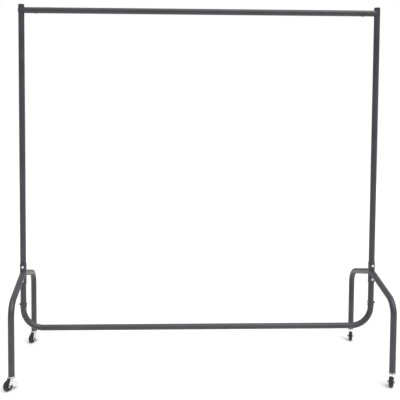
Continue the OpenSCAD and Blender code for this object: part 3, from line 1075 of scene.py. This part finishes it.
@dataclass
class Fasteners:
    """Domed bolts, nuts and saddle washers, modelled once and copied to each hole.

    Sizes in millimetres.
    """

    palette: Palette
    bolt_r: float = 3.0
    head_r: float = 6.0
    head_h: float = 3.6
    rim_h: float = 0.6
    key_r: float = 2.32
    pitch: float = 1.0
    thread_depth: float = 0.55
    thread_spare: float = 6.0
    screw_thread: float = 4.0
    flats: float = 10.0
    nut_h: float = 5.0
    washer_r: float = 6.45
    washer_t: float = 1.2
    hole_r: float = 3.2
    spigot_bore: float = 23.8
    nut_turns: tuple[float, ...] = (8.0, 41.0, 17.0, 52.0)

    def build(self) -> None:
        """Builds the fasteners of the sleeves, the bottom rail and the hanging rail."""
        low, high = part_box("sleeve_bolts")
        heights = (low.z + self.head_r * MM, high.z - self.head_r * MM)
        sleeve = [self.place(end, h, Aim.FRONT) for end in End for h in heights]
        sleeve_r = extent("left_sleeve").x / 2 / MM
        self.bolted("sleeve", sleeve, sleeve_r, low_end=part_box("sleeve_bolts")[1].y / MM, tube_turn=0.0)
        joint_h = middle("joint_bolts").z
        joint = [self.place(End.LEFT, joint_h, Aim.RIGHT), self.place(End.RIGHT, joint_h, Aim.LEFT)]
        socket_r = extent("bottom_rail").y / 2 / MM
        reach = (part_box("joint_bolts")[1].x - middle("right_upright").x) / MM
        self.bolted("joint", joint, socket_r, low_end=reach, tube_turn=90.0)
        self.rail_screws()

    def place(self, end: End, height: float, aim: Aim) -> Matrix:
        """Where a fastener through an upright sits.

        Args:
            end: which upright.
            height: the height of the hole, in metres.
            aim: which way the head faces.

        Returns:
            The place, with the tube's axis at the origin.
        """
        post = middle(f"{end.value}_upright")
        return Matrix.Translation((post.x, post.y, height)) @ aim.turn

    def bolted(
        self, name: str, places: Sequence[Matrix], tube_r: float, low_end: float, tube_turn: float
    ) -> None:
        """Builds one joint's bolts, nuts and washers.

        Args:
            name: the joint's name.
            places: where each bolt goes.
            tube_r: the radius of the tube that the washers sit on.
            low_end: how far each bolt's end reaches past the tube's axis.
            tube_turn: degrees that turn a washer to the tube.
        """
        seat = tube_r + self.washer_t
        bolt = self.dome_bolt("bolt", seat, -low_end, low_end - seat + self.thread_spare)
        self.spread_out(bolt, f"{name}_bolt_set", places, f"{name}_bolts", self.palette.bolt_zinc)
        nut = self.hex_nut("nut", -seat)
        turns = (Matrix.Rotation(math.radians(a), 4, "Z") for a in self.nut_turns)
        turned = [place @ turn for place, turn in zip(places, turns)]
        self.spread_out(nut, f"{name}_nut_set", turned, f"{name}_nuts", self.palette.bolt_zinc)
        washer = self.saddle("washer", tube_r)
        quarter = Matrix.Rotation(math.radians(tube_turn), 4, "Z")
        flips = (Matrix.Identity(4), Matrix.Rotation(math.pi, 4, "X"))
        both = [place @ flip @ quarter for place in places for flip in flips]
        self.spread_out(washer, f"{name}_washer_set", both, "", self.palette.plastic)

    def rail_screws(self) -> None:
        """Builds the two screws under the hanging rail, with their washers."""
        low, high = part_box("rail_screws")
        rail = middle("hanging_rail")
        rail_r = extent("hanging_rail").z / 2 / MM
        xs = (low.x + self.head_r * MM, high.x - self.head_r * MM)
        places = [Matrix.Translation((x, rail.y, rail.z)) @ Aim.DOWN.turn for x in xs]
        foot = self.spigot_bore / 2 - 1
        screw = self.dome_bolt("screw", rail_r + self.washer_t, foot, self.screw_thread)
        self.spread_out(screw, "rail_screw_set", places, "rail_screws", self.palette.bolt_zinc)
        washer = self.saddle("washer", rail_r)
        quarter = Matrix.Rotation(math.radians(90), 4, "Z")
        turned = [place @ quarter for place in places]
        self.spread_out(washer, "rail_washer_set", turned, "saddle_washers", self.palette.plastic)

    def spread_out(
        self, model: Piece, name: str, places: Sequence[Matrix], node: str, finish: Finish
    ) -> None:
        """Copies one fastener to its places, makes the copies one piece, and fits it.

        Args:
            model: the fastener, which is used up.
            name: the piece's name.
            places: where the copies go.
            node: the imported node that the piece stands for, if any.
            finish: the piece's finish.
        """
        copies = [placed_copy(model, f"{name}_{i}", place) for i, place in enumerate(places)]
        bpy.data.objects.remove(model, do_unlink=True)
        piece = finished(joined(name, copies), 35.0)
        fit_piece(piece, "frame", self.palette, finish, [node] if node else [])

    def thread(self, low: float, high: float) -> Piece:
        """Winds a screw thread's ridge around the Z axis.

        Args:
            low: where the ridge starts.
            high: where it ends.

        Returns:
            The closed ridge.
        """
        root = self.bolt_r - self.thread_depth - 0.1
        half, crest = 0.42 * self.pitch, 0.06
        points = [(root, -half), (self.bolt_r, -crest), (self.bolt_r, crest), (root, half)]
        ridge = outline("ridge", [(r * MM, 0, (low + half + h) * MM) for r, h in points], fill=False)
        turns = max(1, int((high - low - 2 * half) / self.pitch))
        use_modifier(
            ridge, "SCREW", axis="Z", angle=math.tau, screw_offset=self.pitch * MM, iterations=turns,
            steps=28, render_steps=28, use_merge_vertices=False,
        )
        with editing(ridge):
            bpy.ops.mesh.select_all(action="SELECT")
            bpy.ops.mesh.fill_holes(sides=4)
            bpy.ops.mesh.select_all(action="SELECT")
            bpy.ops.mesh.normals_make_consistent(inside=False)
        return ridge

    def dome_bolt(self, name: str, seat: float, foot: float, threaded: float) -> Piece:
        """Models a domed bolt with a hexagon key socket, along +Z.

        Args:
            name: the bolt's name.
            seat: the height at which its head bears.
            foot: the height of its end.
            threaded: the length of its thread.

        Returns:
            The bolt.
        """
        core = self.bolt_r - self.thread_depth
        cap_h = self.head_h - self.rim_h
        cap_r = (self.head_r**2 + cap_h**2) / (2 * cap_h)
        middle_h = seat + self.head_h - cap_r
        start = math.degrees(math.asin((seat + self.rim_h - middle_h) / cap_r))
        profile = [(0.0, foot), (core - 0.5, foot), (core, foot + 0.5), (core, foot + threaded)]
        profile += [(self.bolt_r, foot + threaded + 0.4), (self.bolt_r, seat)]
        profile += [(self.head_r - 0.15, seat), (self.head_r, seat + 0.15)]
        profile += arc((0.0, middle_h), cap_r, start, 90, 12)
        bolt = spun(name, profile, 64, ORIGIN, UP)
        key = self.upright_line(seat + self.head_h / 2, seat + 2 * self.head_h)
        bolt = cut(bolt, rod("key", self.key_r * MM, *key, 6))
        bolt = bevelled(bolt, 0.12 * MM, 2, 40.0)
        return fused(bolt, self.thread(foot + 0.2, foot + threaded))

    @staticmethod
    def upright_line(low: float, high: float) -> tuple[Vector, Vector]:
        """The two ends of a line up the Z axis, from heights in millimetres."""
        return Vector((0, 0, low * MM)), Vector((0, 0, high * MM))

    def hex_nut(self, name: str, seat: float) -> Piece:
        """Models a chamfered hexagon nut that stands down from where it bears.

        Args:
            name: the nut's name.
            seat: the height at which it bears.

        Returns:
            The nut.
        """
        corner = self.flats / 2 / math.cos(math.radians(30))
        foot = seat - self.nut_h
        nut = rod(name, corner * MM, *self.upright_line(foot, seat), 6)
        flat, rim = 0.95 * self.flats / 2, corner + 0.3
        drop = (rim - flat) * math.tan(math.radians(30))
        cone = [(0.0, foot), (flat, foot), (rim, foot + drop)]
        cone += [(rim, seat - drop), (flat, seat), (0.0, seat)]
        nut = cropped(nut, spun("cone", cone, 96, ORIGIN, UP))
        bore = self.bolt_r + 0.05
        mouth = bore + 1.5
        way_in = [(0.0, foot - 1), (mouth, foot - 1), (bore, foot + 0.5)]
        way_in += [(bore, seat - 0.5), (mouth, seat + 1), (0.0, seat + 1)]
        return cut(nut, spun("bore", way_in, 48, ORIGIN, UP))

    def saddle(self, name: str, tube_r: float) -> Piece:
        """Models a washer whose hollow side sits on a tube that runs along Y.

        Args:
            name: the washer's name.
            tube_r: the tube's radius.

        Returns:
            The washer.
        """
        blank = self.upright_line(0.8 * tube_r, tube_r + self.washer_t)
        washer = rod(name, self.washer_r * MM, *blank, 64)
        washer = cut(washer, rod("hole", self.hole_r * MM, *self.upright_line(0, 2 * tube_r), 48))
        washer = bevelled(washer, 0.35 * MM, 3, 40.0)
        reach = Vector((0, 2 * self.washer_r * MM, 0))
        return cut(washer, rod("tube", tube_r * MM, -reach, reach, 128))


# ---- Castors ----


def spot(x: float, y: float, z: float) -> Vector:
    """A point given in millimetres."""
    return Vector((x, y, z)) * MM


@dataclass
class Castor:
    """A swivel castor, modelled over the origin, trailing along -X, then copied to each corner.

    Sizes in millimetres. The three shares are of the axle's diameter, and tool_half is half the
    width of the shapes that cut across the castor.
    """

    palette: Palette
    corners: tuple[str, ...] = ("front_left", "rear_left", "front_right", "rear_right")
    wheel_r: float = 25.0
    tyre_w: float = 18.0
    tyre_t: float = 6.0
    trail: float = 22.0
    crown_low: float = 56.0
    crown_top: float = 58.0
    crown_r: float = 17.0
    crown_reach: float = 15.0
    cheek_in: float = 10.6
    cheek_out: float = 12.6
    fork_bend: float = 3.2
    boss_r: float = 8.0
    groove_ends: tuple[Flat, Flat] = ((-17.5, 35.5), (-9.0, 50.0))
    groove_r: float = 2.1
    groove_out: float = 1.55
    ball_h: float = 59.2
    ball_ring_r: float = 13.1
    race_r: float = 2.03
    head_race_r: float = 2.12
    head_low: float = 60.4
    head_top: float = 63.0
    head_r: float = 17.7
    stem_r: float = 5.5
    stem_top: float = 95.0
    kingpin_r: float = 4.0
    kingpin_head_r: float = 6.0
    axle_r: float = 3.0
    hex_share: float = 1.6
    head_share: float = 0.6
    nut_share: float = 0.8
    run_gap: float = 0.08
    hub_w: float = 19.6
    rib_count: int = 6
    rib_t: float = 1.5
    rib_w: float = 12.6
    pin: Flat = (-2.03, 48.97)
    pin_r: float = 2.0
    pedal_slope: float = 46.5
    pedal_len: float = 46.0
    pedal_in: float = 13.0
    pedal_out: float = 14.5
    root_r: float = 6.0
    tip_r: float = 4.0
    pedal_belly: float = 19.0
    tread_ribs: tuple[float, ...] = (27.0, 32.0, 37.0, 42.0)
    tread_rib_r: float = 0.75
    tread_rib_half: float = 9.5
    shoe_w: float = 17.0
    shoe_gap: float = 2.0
    tool_half: float = 20.0

    def build(self) -> None:
        """Builds each kind of piece once, and fits its copies at the corners."""
        zinc = self.palette.zinc
        self.at_corners(self.head_plate(), "head_plate", "stem", "frame", zinc)
        self.at_corners(self.fork(), "fork_pressing", "fork", "castor", zinc)
        self.at_corners(self.axle_bolt(), "axle_bolt", "axle", "castor", self.palette.dark_axle_zinc)
        self.at_corners(self.axle_nut(), "axle_lock_nut", "axle_nut", "castor", self.palette.dark_axle_zinc)
        self.at_corners(self.wheel(), "wheel_centre", "wheel", "wheel", self.palette.wheel)
        self.at_corners(self.tyre(), "tyre_ring", "tyre", "wheel", self.palette.tyre)
        self.at_corners(self.brake_pin(), "brake_rivet", "brake_pin", "castor", self.palette.bolt_zinc)
        self.at_corners(self.brake_pedal(), "brake_lever", "brake_pedal", "pedal", zinc)
        for corner in self.corners:
            self.palette.dress(frame["nodes"][f"{corner}_socket"], self.palette.plastic)
            self.palette.dress(frame["nodes"][f"{corner}_balls"], self.palette.balls)

    def place(self, corner: str) -> Matrix:
        """Where a corner's castor stands and which way it trails.

        Args:
            corner: the corner's name.

        Returns:
            The place of the castor's own axes.
        """
        joints = {joint["name"]: joint for joint in frame["joints"]}
        swivel = Vector(joints[f"{corner}_swivel"]["pos_m"])
        across = Vector(joints[f"{corner}_wheel_spin"]["axis"]).normalized()
        turn = Matrix((across.cross(UP), across, UP)).transposed().to_4x4()
        return Matrix.Translation((swivel.x, swivel.y, 0)) @ turn

    def at_corners(self, model: Piece, label: str, node: str, part: str, finish: Finish) -> None:
        """Copies one piece to each corner that has it.

        Args:
            model: the piece, which is used up.
            label: the end of each copy's name.
            node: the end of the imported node's name.
            part: the body it rides: frame, castor, wheel or pedal.
            finish: the piece's finish.
        """
        model = finished(model, 34.0)
        for corner in self.corners:
            if f"{corner}_{node}" not in frame["nodes"]:
                continue
            piece = placed_copy(model, f"{corner}_{label}", self.place(corner))
            body = "frame" if part == "frame" else f"{corner}_{part}"
            fit_piece(piece, body, self.palette, finish, [f"{corner}_{node}"])
        bpy.data.objects.remove(model, do_unlink=True)

    def lathe(self, name: str, profile: Outline, steps: int) -> Piece:
        """Turns a profile about the swivel axis."""
        return spun(name, profile, steps, ORIGIN, UP)

    def axle_lathe(self, name: str, profile: Outline, steps: int) -> Piece:
        """Turns a profile about the axle."""
        return spun(name, profile, steps, spot(-self.trail, 0, self.wheel_r), ACROSS)

    def cross_bar(self, name: str, at: Flat, radius: float, half: float, sides: int = 64) -> Piece:
        """A round bar across the castor, centred between its cheeks."""
        return rod(name, radius * MM, spot(at[0], -half, at[1]), spot(at[0], half, at[1]), sides)

    def side_prism(self, name: str, points: Outline, half: float) -> Piece:
        """A side view drawn with X forward and Z up, given a thickness across the castor."""
        flat = outline(name, [spot(x, -half, z) for x, z in points])
        return extruded(flat, spot(0, 2 * half, 0))

    def head_plate(self) -> Piece:
        """Models the stem, the rolled head plate and the kingpin.

        Returns:
            The piece.
        """
        foot, pin_r, pin_head_r = self.crown_low - 2.0, self.kingpin_r, self.kingpin_head_r
        profile = [(0.0, foot), (pin_head_r - 2.8, foot), (pin_head_r - 0.8, foot + 0.25)]
        profile += [(pin_head_r, foot + 0.9), (pin_head_r, foot + 1.3), (pin_head_r - 0.3, foot + 1.7)]
        profile += [(pin_r, foot + 1.7), (pin_r, self.head_low)]
        swing = math.degrees(math.asin((self.head_low - self.ball_h) / self.head_race_r))
        profile += arc((self.ball_ring_r, self.ball_h), self.head_race_r, 180 - swing, swing, 10)
        rim, low, top, roll = self.head_r, self.head_low, self.head_top, 1.3
        profile += [(rim - 1.4, low), (rim - 1.1, low - 0.25), (rim - 0.6, low - 0.3)]
        profile += arc((rim - roll, top - roll), roll, 0, 90, 6)
        profile += [(rim - 2.1, top - 0.25), (rim - 2.5, top)]
        stem, neck, end = self.stem_r, self.stem_r - 0.6, self.stem_top
        profile += [(stem + 0.4, top), (stem, top + 0.4), (stem, end - 8), (neck, end - 7.6)]
        profile += [(neck, end - 5.4), (stem, end - 5), (stem, end - 1), (stem - 1, end), (0.0, end)]
        return self.lathe("head_plate", profile, 96)

    def boss_touch(self, x: float, z: float, side: float) -> float:
        """The angle, in degrees, at which a line from a point touches the boss around the axle."""
        dx, dz = x + self.trail, z - self.wheel_r
        return math.degrees(math.atan2(dz, dx) + side * math.acos(self.boss_r / math.hypot(dx, dz)))

    def cheek_points(self) -> list[Flat]:
        """The cheek's side view: rounded at the crown, waisted, and round about the axle.

        Returns:
            The outline's points.
        """
        reach, top, soft = self.crown_reach, self.crown_top, 2.6
        front = self.boss_touch(reach, top, -1.0)
        back = self.boss_touch(-reach, top, 1.0)
        boss = arc((-self.trail, self.wheel_r), self.boss_r, front, back - 360.0, 30)
        points = arc((-reach + soft, top - soft), soft, 150, 90, 4)
        points += arc((reach - soft, top - soft), soft, 90, -20, 6)
        points += self.bowed(points[-1], boss[0], 1.3)
        points += boss
        points += self.bowed(boss[-1], points[0], 0.5)
        return points

    @staticmethod
    def bowed(start: Flat, end: Flat, depth: float, steps: int = 9) -> list[Flat]:
        """The inner points of a shallow curve that bends to the right of its chord's way.

        Args:
            start: where the curve starts.
            end: where it ends.
            depth: how far its middle stands off the chord.
            steps: how many equal steps the chord is cut into.

        Returns:
            The points between the two ends.
        """
        dx, dz = end[0] - start[0], end[1] - start[1]
        long = math.hypot(dx, dz)
        points = []
        for i in range(1, steps):
            t = i / steps
            off = depth * 4 * t * (1 - t)
            points.append((start[0] + dx * t + off * dz / long, start[1] + dz * t - off * dx / long))
        return points

    def fork(self) -> Piece:
        """Models the pressed fork: a folded channel trimmed to the cheeks, under a round crown.

        Returns:
            The fork.
        """
        out, bend, top = self.cheek_out, self.fork_bend, self.crown_top
        inner = bend - (self.cheek_out - self.cheek_in)
        low = self.wheel_r - self.boss_r - 4
        back, length = -40, 70
        section = [(-out, low)] + arc((bend - out, top - bend), bend, 180, 90, 6)
        section += arc((out - bend, top - bend), bend, 90, 0, 6) + [(out, low), (self.cheek_in, low)]
        section += arc((out - bend, top - bend), inner, 0, 90, 6)
        section += arc((bend - out, top - bend), inner, 90, 180, 6) + [(-self.cheek_in, low)]
        flat = outline("fork", [spot(back, y, z) for y, z in section])
        fork = extruded(flat, spot(length, 0, 0))
        fork = cropped(fork, self.side_prism("cheeks", self.cheek_points(), self.tool_half))
        edge, brow, under = 0.9, 0.7, self.crown_low - 0.02
        crown = [(0.0, under), (self.crown_r - edge, under)]
        crown += arc((self.crown_r - edge, self.crown_low + edge), edge, -80, 0, 5)
        crown += arc((self.crown_r - brow, top - brow), brow, 0, 90, 4) + [(0.0, top)]
        fork = fused(fork, self.lathe("crown", crown, 96))
        fork = cut(fork, self.race())
        kingpin_hole_r = (self.kingpin_r + self.run_gap) * MM
        fork = cut(fork, rod("kingpin_hole", kingpin_hole_r, spot(0, 0, 40), spot(0, 0, 70)))
        axle = (-self.trail, self.wheel_r)
        fork = cut(fork, self.cross_bar("axle_hole", axle, self.axle_r + 0.1, self.tool_half))
        fork = cut(fork, self.cross_bar("pin_hole", self.pin, self.pin_r + 0.05, self.tool_half))
        for side in (-1.0, 1.0):
            fork = cut(fork, self.pressed_rib(side))
        return bevelled(fork, 0.28 * MM, 2, 42.0)

    def race(self) -> Piece:
        """The ring that the balls run in.

        Returns:
            The ring, as a cutting shape.
        """
        bpy.ops.object.select_all(action="DESELECT")
        bpy.ops.mesh.primitive_torus_add(
            major_radius=self.ball_ring_r * MM,
            minor_radius=self.race_r * MM,
            major_segments=96,
            minor_segments=24,
            location=spot(0, 0, self.ball_h),
        )
        return bpy.context.object

    def pressed_rib(self, side: float) -> Piece:
        """The shallow stiffening groove pressed into a cheek's outer face, as a cutting shape.

        Args:
            side: which cheek, -1 or 1.

        Returns:
            The cutting shape.
        """
        face, radius = side * (self.cheek_out + self.groove_out), self.groove_r * MM
        ends = [spot(x, face, z) for x, z in self.groove_ends]
        groove = rod("groove", radius, *ends, 32)
        for end in ends:
            bpy.ops.object.select_all(action="DESELECT")
            bpy.ops.mesh.primitive_uv_sphere_add(segments=32, ring_count=16, radius=radius, location=end)
            groove = fused(groove, bpy.context.object)
        return groove

    def axle_bolt(self) -> Piece:
        """Models the axle bolt, with a chamfered hexagon head and a short thread end.

        Returns:
            The bolt.
        """
        flats, corner = self.axle_hexagon()
        face, axle_r = -self.cheek_out, self.axle_r
        back = face - self.head_share * 2 * axle_r
        end = self.cheek_out + self.nut_share * 2 * axle_r + 1.5
        head = rod("axle", corner * MM, self.on_axle(back), self.on_axle(face), 6)
        flat, rim = 0.47 * flats, corner + 0.2
        cone = [(0.0, back), (flat, back), (rim, back + 0.75), (rim, face + 1), (0.0, face + 1)]
        head = cropped(head, self.axle_lathe("cone", cone, 96))
        thread, ridges, pitch = end - 2.4, 4, 0.5
        shank = [(0.0, face - 0.5), (axle_r, face - 0.5), (axle_r, thread)]
        for ridge in range(ridges):
            at = thread + pitch * ridge
            shank += [(axle_r, at + 0.05), (axle_r - 0.3, at + 0.25), (axle_r, at + 0.45)]
        shank += [(axle_r - 0.45, end), (0.0, end)]
        return fused(head, self.axle_lathe("shank", shank, 48))

    def axle_hexagon(self) -> Flat:
        """The axle's hexagons: the width across their flats, and the radius to their corners."""
        flats = self.hex_share * 2 * self.axle_r
        return flats, flats / 2 / math.cos(math.radians(30))

    def on_axle(self, across: float) -> Vector:
        """The point of the axle's line that is this far across the castor."""
        return spot(-self.trail, across, self.wheel_r)

    def axle_nut(self) -> Piece:
        """Models the lock nut on the axle's end, with its rounded collar.

        Returns:
            The nut.
        """
        flats, corner = self.axle_hexagon()
        face = self.cheek_out
        top = face + self.nut_share * 2 * self.axle_r
        nut = rod("nut", corner * MM, self.on_axle(face), self.on_axle(top), 6)
        bore, flat, rim, collar = self.axle_r + 0.05, 0.47 * flats, corner + 0.2, 0.7
        shape = [(bore, face), (flat, face), (rim, face + 0.75), (rim, top - 1.9), (flat, top - 1.35)]
        shape += arc((0.40 * flats, top - collar), collar, 0, 90, 5) + [(bore, top)]
        return cropped(nut, self.axle_lathe("shape", shape, 72))

    def wheel(self) -> Piece:
        """Models the wheel's moulded centre: hub, web, rim and ribs.

        Returns:
            The wheel centre.
        """
        rim_r = self.wheel_r - self.tyre_t
        hub_r, hub = self.axle_r + 4.5, self.hub_w / 2
        rim, web, bore = self.tyre_w / 2 - 1, self.tyre_w / 6, self.axle_r + self.run_gap
        corner, wall = 1.2, 2.5
        half = [(bore, hub), (hub_r - 0.5, hub), (hub_r, hub - 0.5), (hub_r, web + corner)]
        half += [(hub_r + corner, web), (rim_r - wall - corner, web), (rim_r - wall, web + corner)]
        half += [(rim_r - wall, rim - 0.3), (rim_r - wall + 0.3, rim), (rim_r, rim)]
        profile = half + [(r, -h) for r, h in reversed(half)]
        wheel = self.axle_lathe("wheel", profile, 96)
        size = spot(self.rib_t, self.rib_w, rim_r - hub_r - 1.6)
        out = Matrix.Translation(spot(0, 0, (rim_r + hub_r) / 2 - 0.9))
        ribs = [self.wheel_rib(size, out, i * math.tau / self.rib_count) for i in range(self.rib_count)]
        wheel = fused(wheel, joined("ribs", ribs))
        return bevelled(wheel, 0.25 * MM, 2, 40.0)

    def wheel_rib(self, size: Vector, out: Matrix, angle: float) -> Piece:
        """Models one rib between the wheel's hub and its rim.

        Args:
            size: the rib's thickness, its width across the wheel, and its length.
            out: how far out from the axle it stands.
            angle: its angle round the axle.

        Returns:
            The rib.
        """
        bpy.ops.object.select_all(action="DESELECT")
        bpy.ops.mesh.primitive_cube_add(size=1.0, location=(0, 0, 0))
        rib = bpy.context.object
        with editing(rib):
            bpy.ops.mesh.select_all(action="SELECT")
            bpy.ops.transform.resize(value=size, center_override=(0, 0, 0))
        rib.data.transform(Matrix.Translation(self.on_axle(0)) @ Matrix.Rotation(angle, 4, "Y") @ out)
        return rib

    def tyre(self) -> Piece:
        """Models the tyre: rounded shoulders, a stepped sidewall and a fine mould line.

        Returns:
            The tyre.
        """
        seat, half, soft = self.wheel_r - self.tyre_t, self.tyre_w / 2, 4.5
        side = [(seat, half - 0.7), (seat + 0.5, half - 0.1)]
        side += [(seat + 1.7, half), (seat + 1.9, half - 0.25)]
        side += arc((self.wheel_r - soft - 0.2, half - soft - 0.25), soft, 90, 4, 9)
        side += [(self.wheel_r - 0.06, 2.4), (self.wheel_r - 0.03, 0.3), (self.wheel_r, 0.15)]
        return self.axle_lathe("tyre", side + [(r, -h) for r, h in reversed(side)], 120)

    def brake_pin(self) -> Piece:
        """Models the rivet that the pedal turns on, with a domed head at each end.

        Returns:
            The rivet.
        """
        face, thick, head = self.pedal_out + 0.3, 1.5, 2 * self.pin_r
        half = [(self.pin_r, 0.0), (self.pin_r, face), (head - 0.1, face), (head, face + 0.1)]
        half += [(head, face + 0.45), (head - 0.35, face + 0.95), (head - 1.2, face + 1.35)]
        half += [(0.0, face + thick)]
        profile = half + [(r, -h) for r, h in reversed(half[1:])]
        return spun("rivet", profile, 48, spot(self.pin[0], 0, self.pin[1]), ACROSS)

    def on_pedal(self, along: float, above: float) -> Flat:
        """A point of the pedal's side view.

        Args:
            along: how far from the pin it lies along the pedal's middle line.
            above: how far it lies above that line.

        Returns:
            The point in the castor's side view.
        """
        slope = math.radians(self.pedal_slope)
        x = self.pin[0] + along * math.cos(slope) + above * math.sin(slope)
        return (x, self.pin[1] - along * math.sin(slope) + above * math.cos(slope))

    def pedal_prism(self, name: str, points: Outline, half: float) -> Piece:
        """A side view drawn along the pedal, given a thickness across the castor."""
        return self.side_prism(name, [self.on_pedal(s, h) for s, h in points], half)

    def brake_pedal(self) -> Piece:
        """Models the pressed pedal: two arms, a ribbed tread folded over the tip, and the shoe.

        Returns:
            The pedal.
        """
        far, thick, low = self.pedal_len, 1.55, -self.pedal_belly
        heel = (-0.5 * self.root_r, -0.866 * self.root_r)
        waist, toe = (1.4 * self.root_r, low), (0.65 * far, low)
        arms = arc((0, 0), self.root_r, 90, 240, 20)
        arms += rounded(heel, waist, toe, 7.0) + rounded(waist, toe, (far, -self.tip_r), 9.0)
        arms += arc((far, 0), self.tip_r, -90, 90, 16)
        pedal = bevelled(self.pedal_prism("pedal", arms, self.pedal_out), 0.6 * MM, 3, 40.0)
        under, clear, fold, below = self.tip_r - thick, 9.0, 10.0, low - 5.0
        inside = [(-clear, clear), (fold, clear), (fold, 3.9)] + arc((far, 0), under, 88, 0, 8)
        inside += [(far + under, below), (-clear, below)]
        pedal = cut(pedal, self.pedal_prism("inside", inside, self.pedal_in))
        pedal = fused(pedal, self.shoe())
        for along in self.tread_ribs:
            rise = self.root_r - (self.root_r - self.tip_r) * along / far - 0.25
            at = self.on_pedal(along, rise)
            pedal = fused(pedal, self.cross_bar("rib", at, self.tread_rib_r, self.tread_rib_half, 20))
        pedal = cut(pedal, self.cross_bar("pin_hole", self.pin, self.pin_r + self.run_gap, self.tool_half))
        return bevelled(pedal, 0.18 * MM, 2, 48.0)

    def shoe(self) -> Piece:
        """Models the brake shoe: a barrel on the pin, with a nose over the tyre.

        Returns:
            The shoe.
        """
        barrel = self.pin_r + 1.7
        points = arc((0, 0), barrel, 90, 270, 16)
        points += [(2.0, -6.0), (8.0, -6.0), (8.0, -1.0), (12.0, 2.0), (12.0, 4.6)]
        shoe = self.pedal_prism("shoe", points, self.shoe_w / 2)
        axle, reach = (-self.trail, self.wheel_r), self.wheel_r + self.shoe_gap
        return cut(shoe, self.cross_bar("clear", axle, reach, self.tool_half, 128))


# ---- Studio ----


@dataclass
class Studio:
    """A pale floor, a pale room, one broad light, and the camera."""

    palette: Palette
    floor_size: float = 16.0
    eye: Place = (-0.2846, -3.2767, 1.3145)
    yaw: float = 2.005
    pitch: float = -3.154
    roll: float = 0.271
    lens: float = 58.02
    shift: Flat = (0.0834, -0.1410)

    def build(self) -> None:
        """Sets up the floor, the lights, the sky and the camera."""
        self.floor()
        self.sky(seen=1.0, ceiling=1.02, walls=0.40)
        self.sun("key_light", way=(-0.50, 0.50, -1.0), spread=50.0, strength=1.80)
        self.camera()

    def floor(self) -> None:
        """Lays the floor."""
        bpy.ops.object.select_all(action="DESELECT")
        bpy.ops.mesh.primitive_grid_add(
            x_subdivisions=8, y_subdivisions=8, size=self.floor_size, location=(0, 0, 0)
        )
        floor = bpy.context.object
        floor.name = "studio_floor"
        self.palette.dress(floor, self.palette.floor)

    def sky(self, seen: float, ceiling: float, walls: float) -> None:
        """Puts a room round the rack.

        The camera sees plain white. The light comes from a pale ceiling and dimmer walls.

        Args:
            seen: how bright the camera sees it.
            ceiling: how bright it is overhead.
            walls: how bright it is at eye level and below.
        """
        world = bpy.data.worlds.new("studio_sky")
        bpy.context.scene.world = world
        world.use_nodes = True
        nodes = Nodes(world.node_tree)
        background = next(n for n in world.node_tree.nodes if n.type == "BACKGROUND")
        background.inputs["Color"].default_value = colour(1.0, 1.0, 1.0)
        parts = nodes.add("ShaderNodeSeparateXYZ")
        nodes.put(parts.inputs[0], nodes.add("ShaderNodeTexCoord").outputs["Generated"])
        overhead = 0.8
        lamp = nodes.spread(parts.outputs["Z"], 0.0, overhead, walls, ceiling)
        path = nodes.add("ShaderNodeLightPath").outputs["Is Camera Ray"]
        strength = nodes.add("ShaderNodeMix", data_type="FLOAT")
        nodes.put(strength.inputs[0], path)
        nodes.put(strength.inputs[2], lamp)
        nodes.put(strength.inputs[3], seen)
        nodes.put(background.inputs["Strength"], strength.outputs[0])

    def sun(self, name: str, way: Place, spread: float, strength: float) -> None:
        """Adds one broad, even light that comes from one side.

        Args:
            name: the light's name.
            way: the direction in which the light travels.
            spread: how wide the light looks, in degrees.
            strength: how strong it is.
        """
        turn = Vector(way).to_track_quat("-Z", "Y").to_euler()
        bpy.ops.object.light_add(type="SUN", location=(0, 0, 4), rotation=turn)
        light = bpy.context.object
        light.name = name
        light.data.angle = math.radians(spread)
        light.data.energy = strength

    def camera(self) -> None:
        """Sets up the camera."""
        yaw, pitch, roll = (math.radians(a) for a in (self.yaw, self.pitch, self.roll))
        ahead = Vector((math.sin(yaw) * math.cos(pitch), math.cos(yaw) * math.cos(pitch), math.sin(pitch)))
        level = Vector((math.cos(yaw), -math.sin(yaw), 0))
        above = level.cross(ahead)
        right = level * math.cos(roll) + above * math.sin(roll)
        turn = Matrix((right, right.cross(ahead), -ahead)).transposed()
        bpy.ops.object.camera_add(location=self.eye, rotation=turn.to_euler())
        camera = bpy.context.object
        camera.name = "studio_camera"
        camera.data.lens = self.lens
        camera.data.sensor_width = 36.0
        camera.data.shift_x, camera.data.shift_y = self.shift
        bpy.context.scene.camera = camera
        bpy.context.scene.view_settings.view_transform = "Standard"


def main() -> None:
    """Builds the rack's visible pieces in order, then the studio."""
    logging.basicConfig(level=logging.INFO, format="%(message)s")
    palette = Palette(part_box("hanging_rail")[1].z)
    TubeFrame(palette).build()
    EndCaps(palette).build()
    Fasteners(palette).build()
    Castor(palette).build()
    Studio(palette).build()


if __name__ == "__main__":
    main()
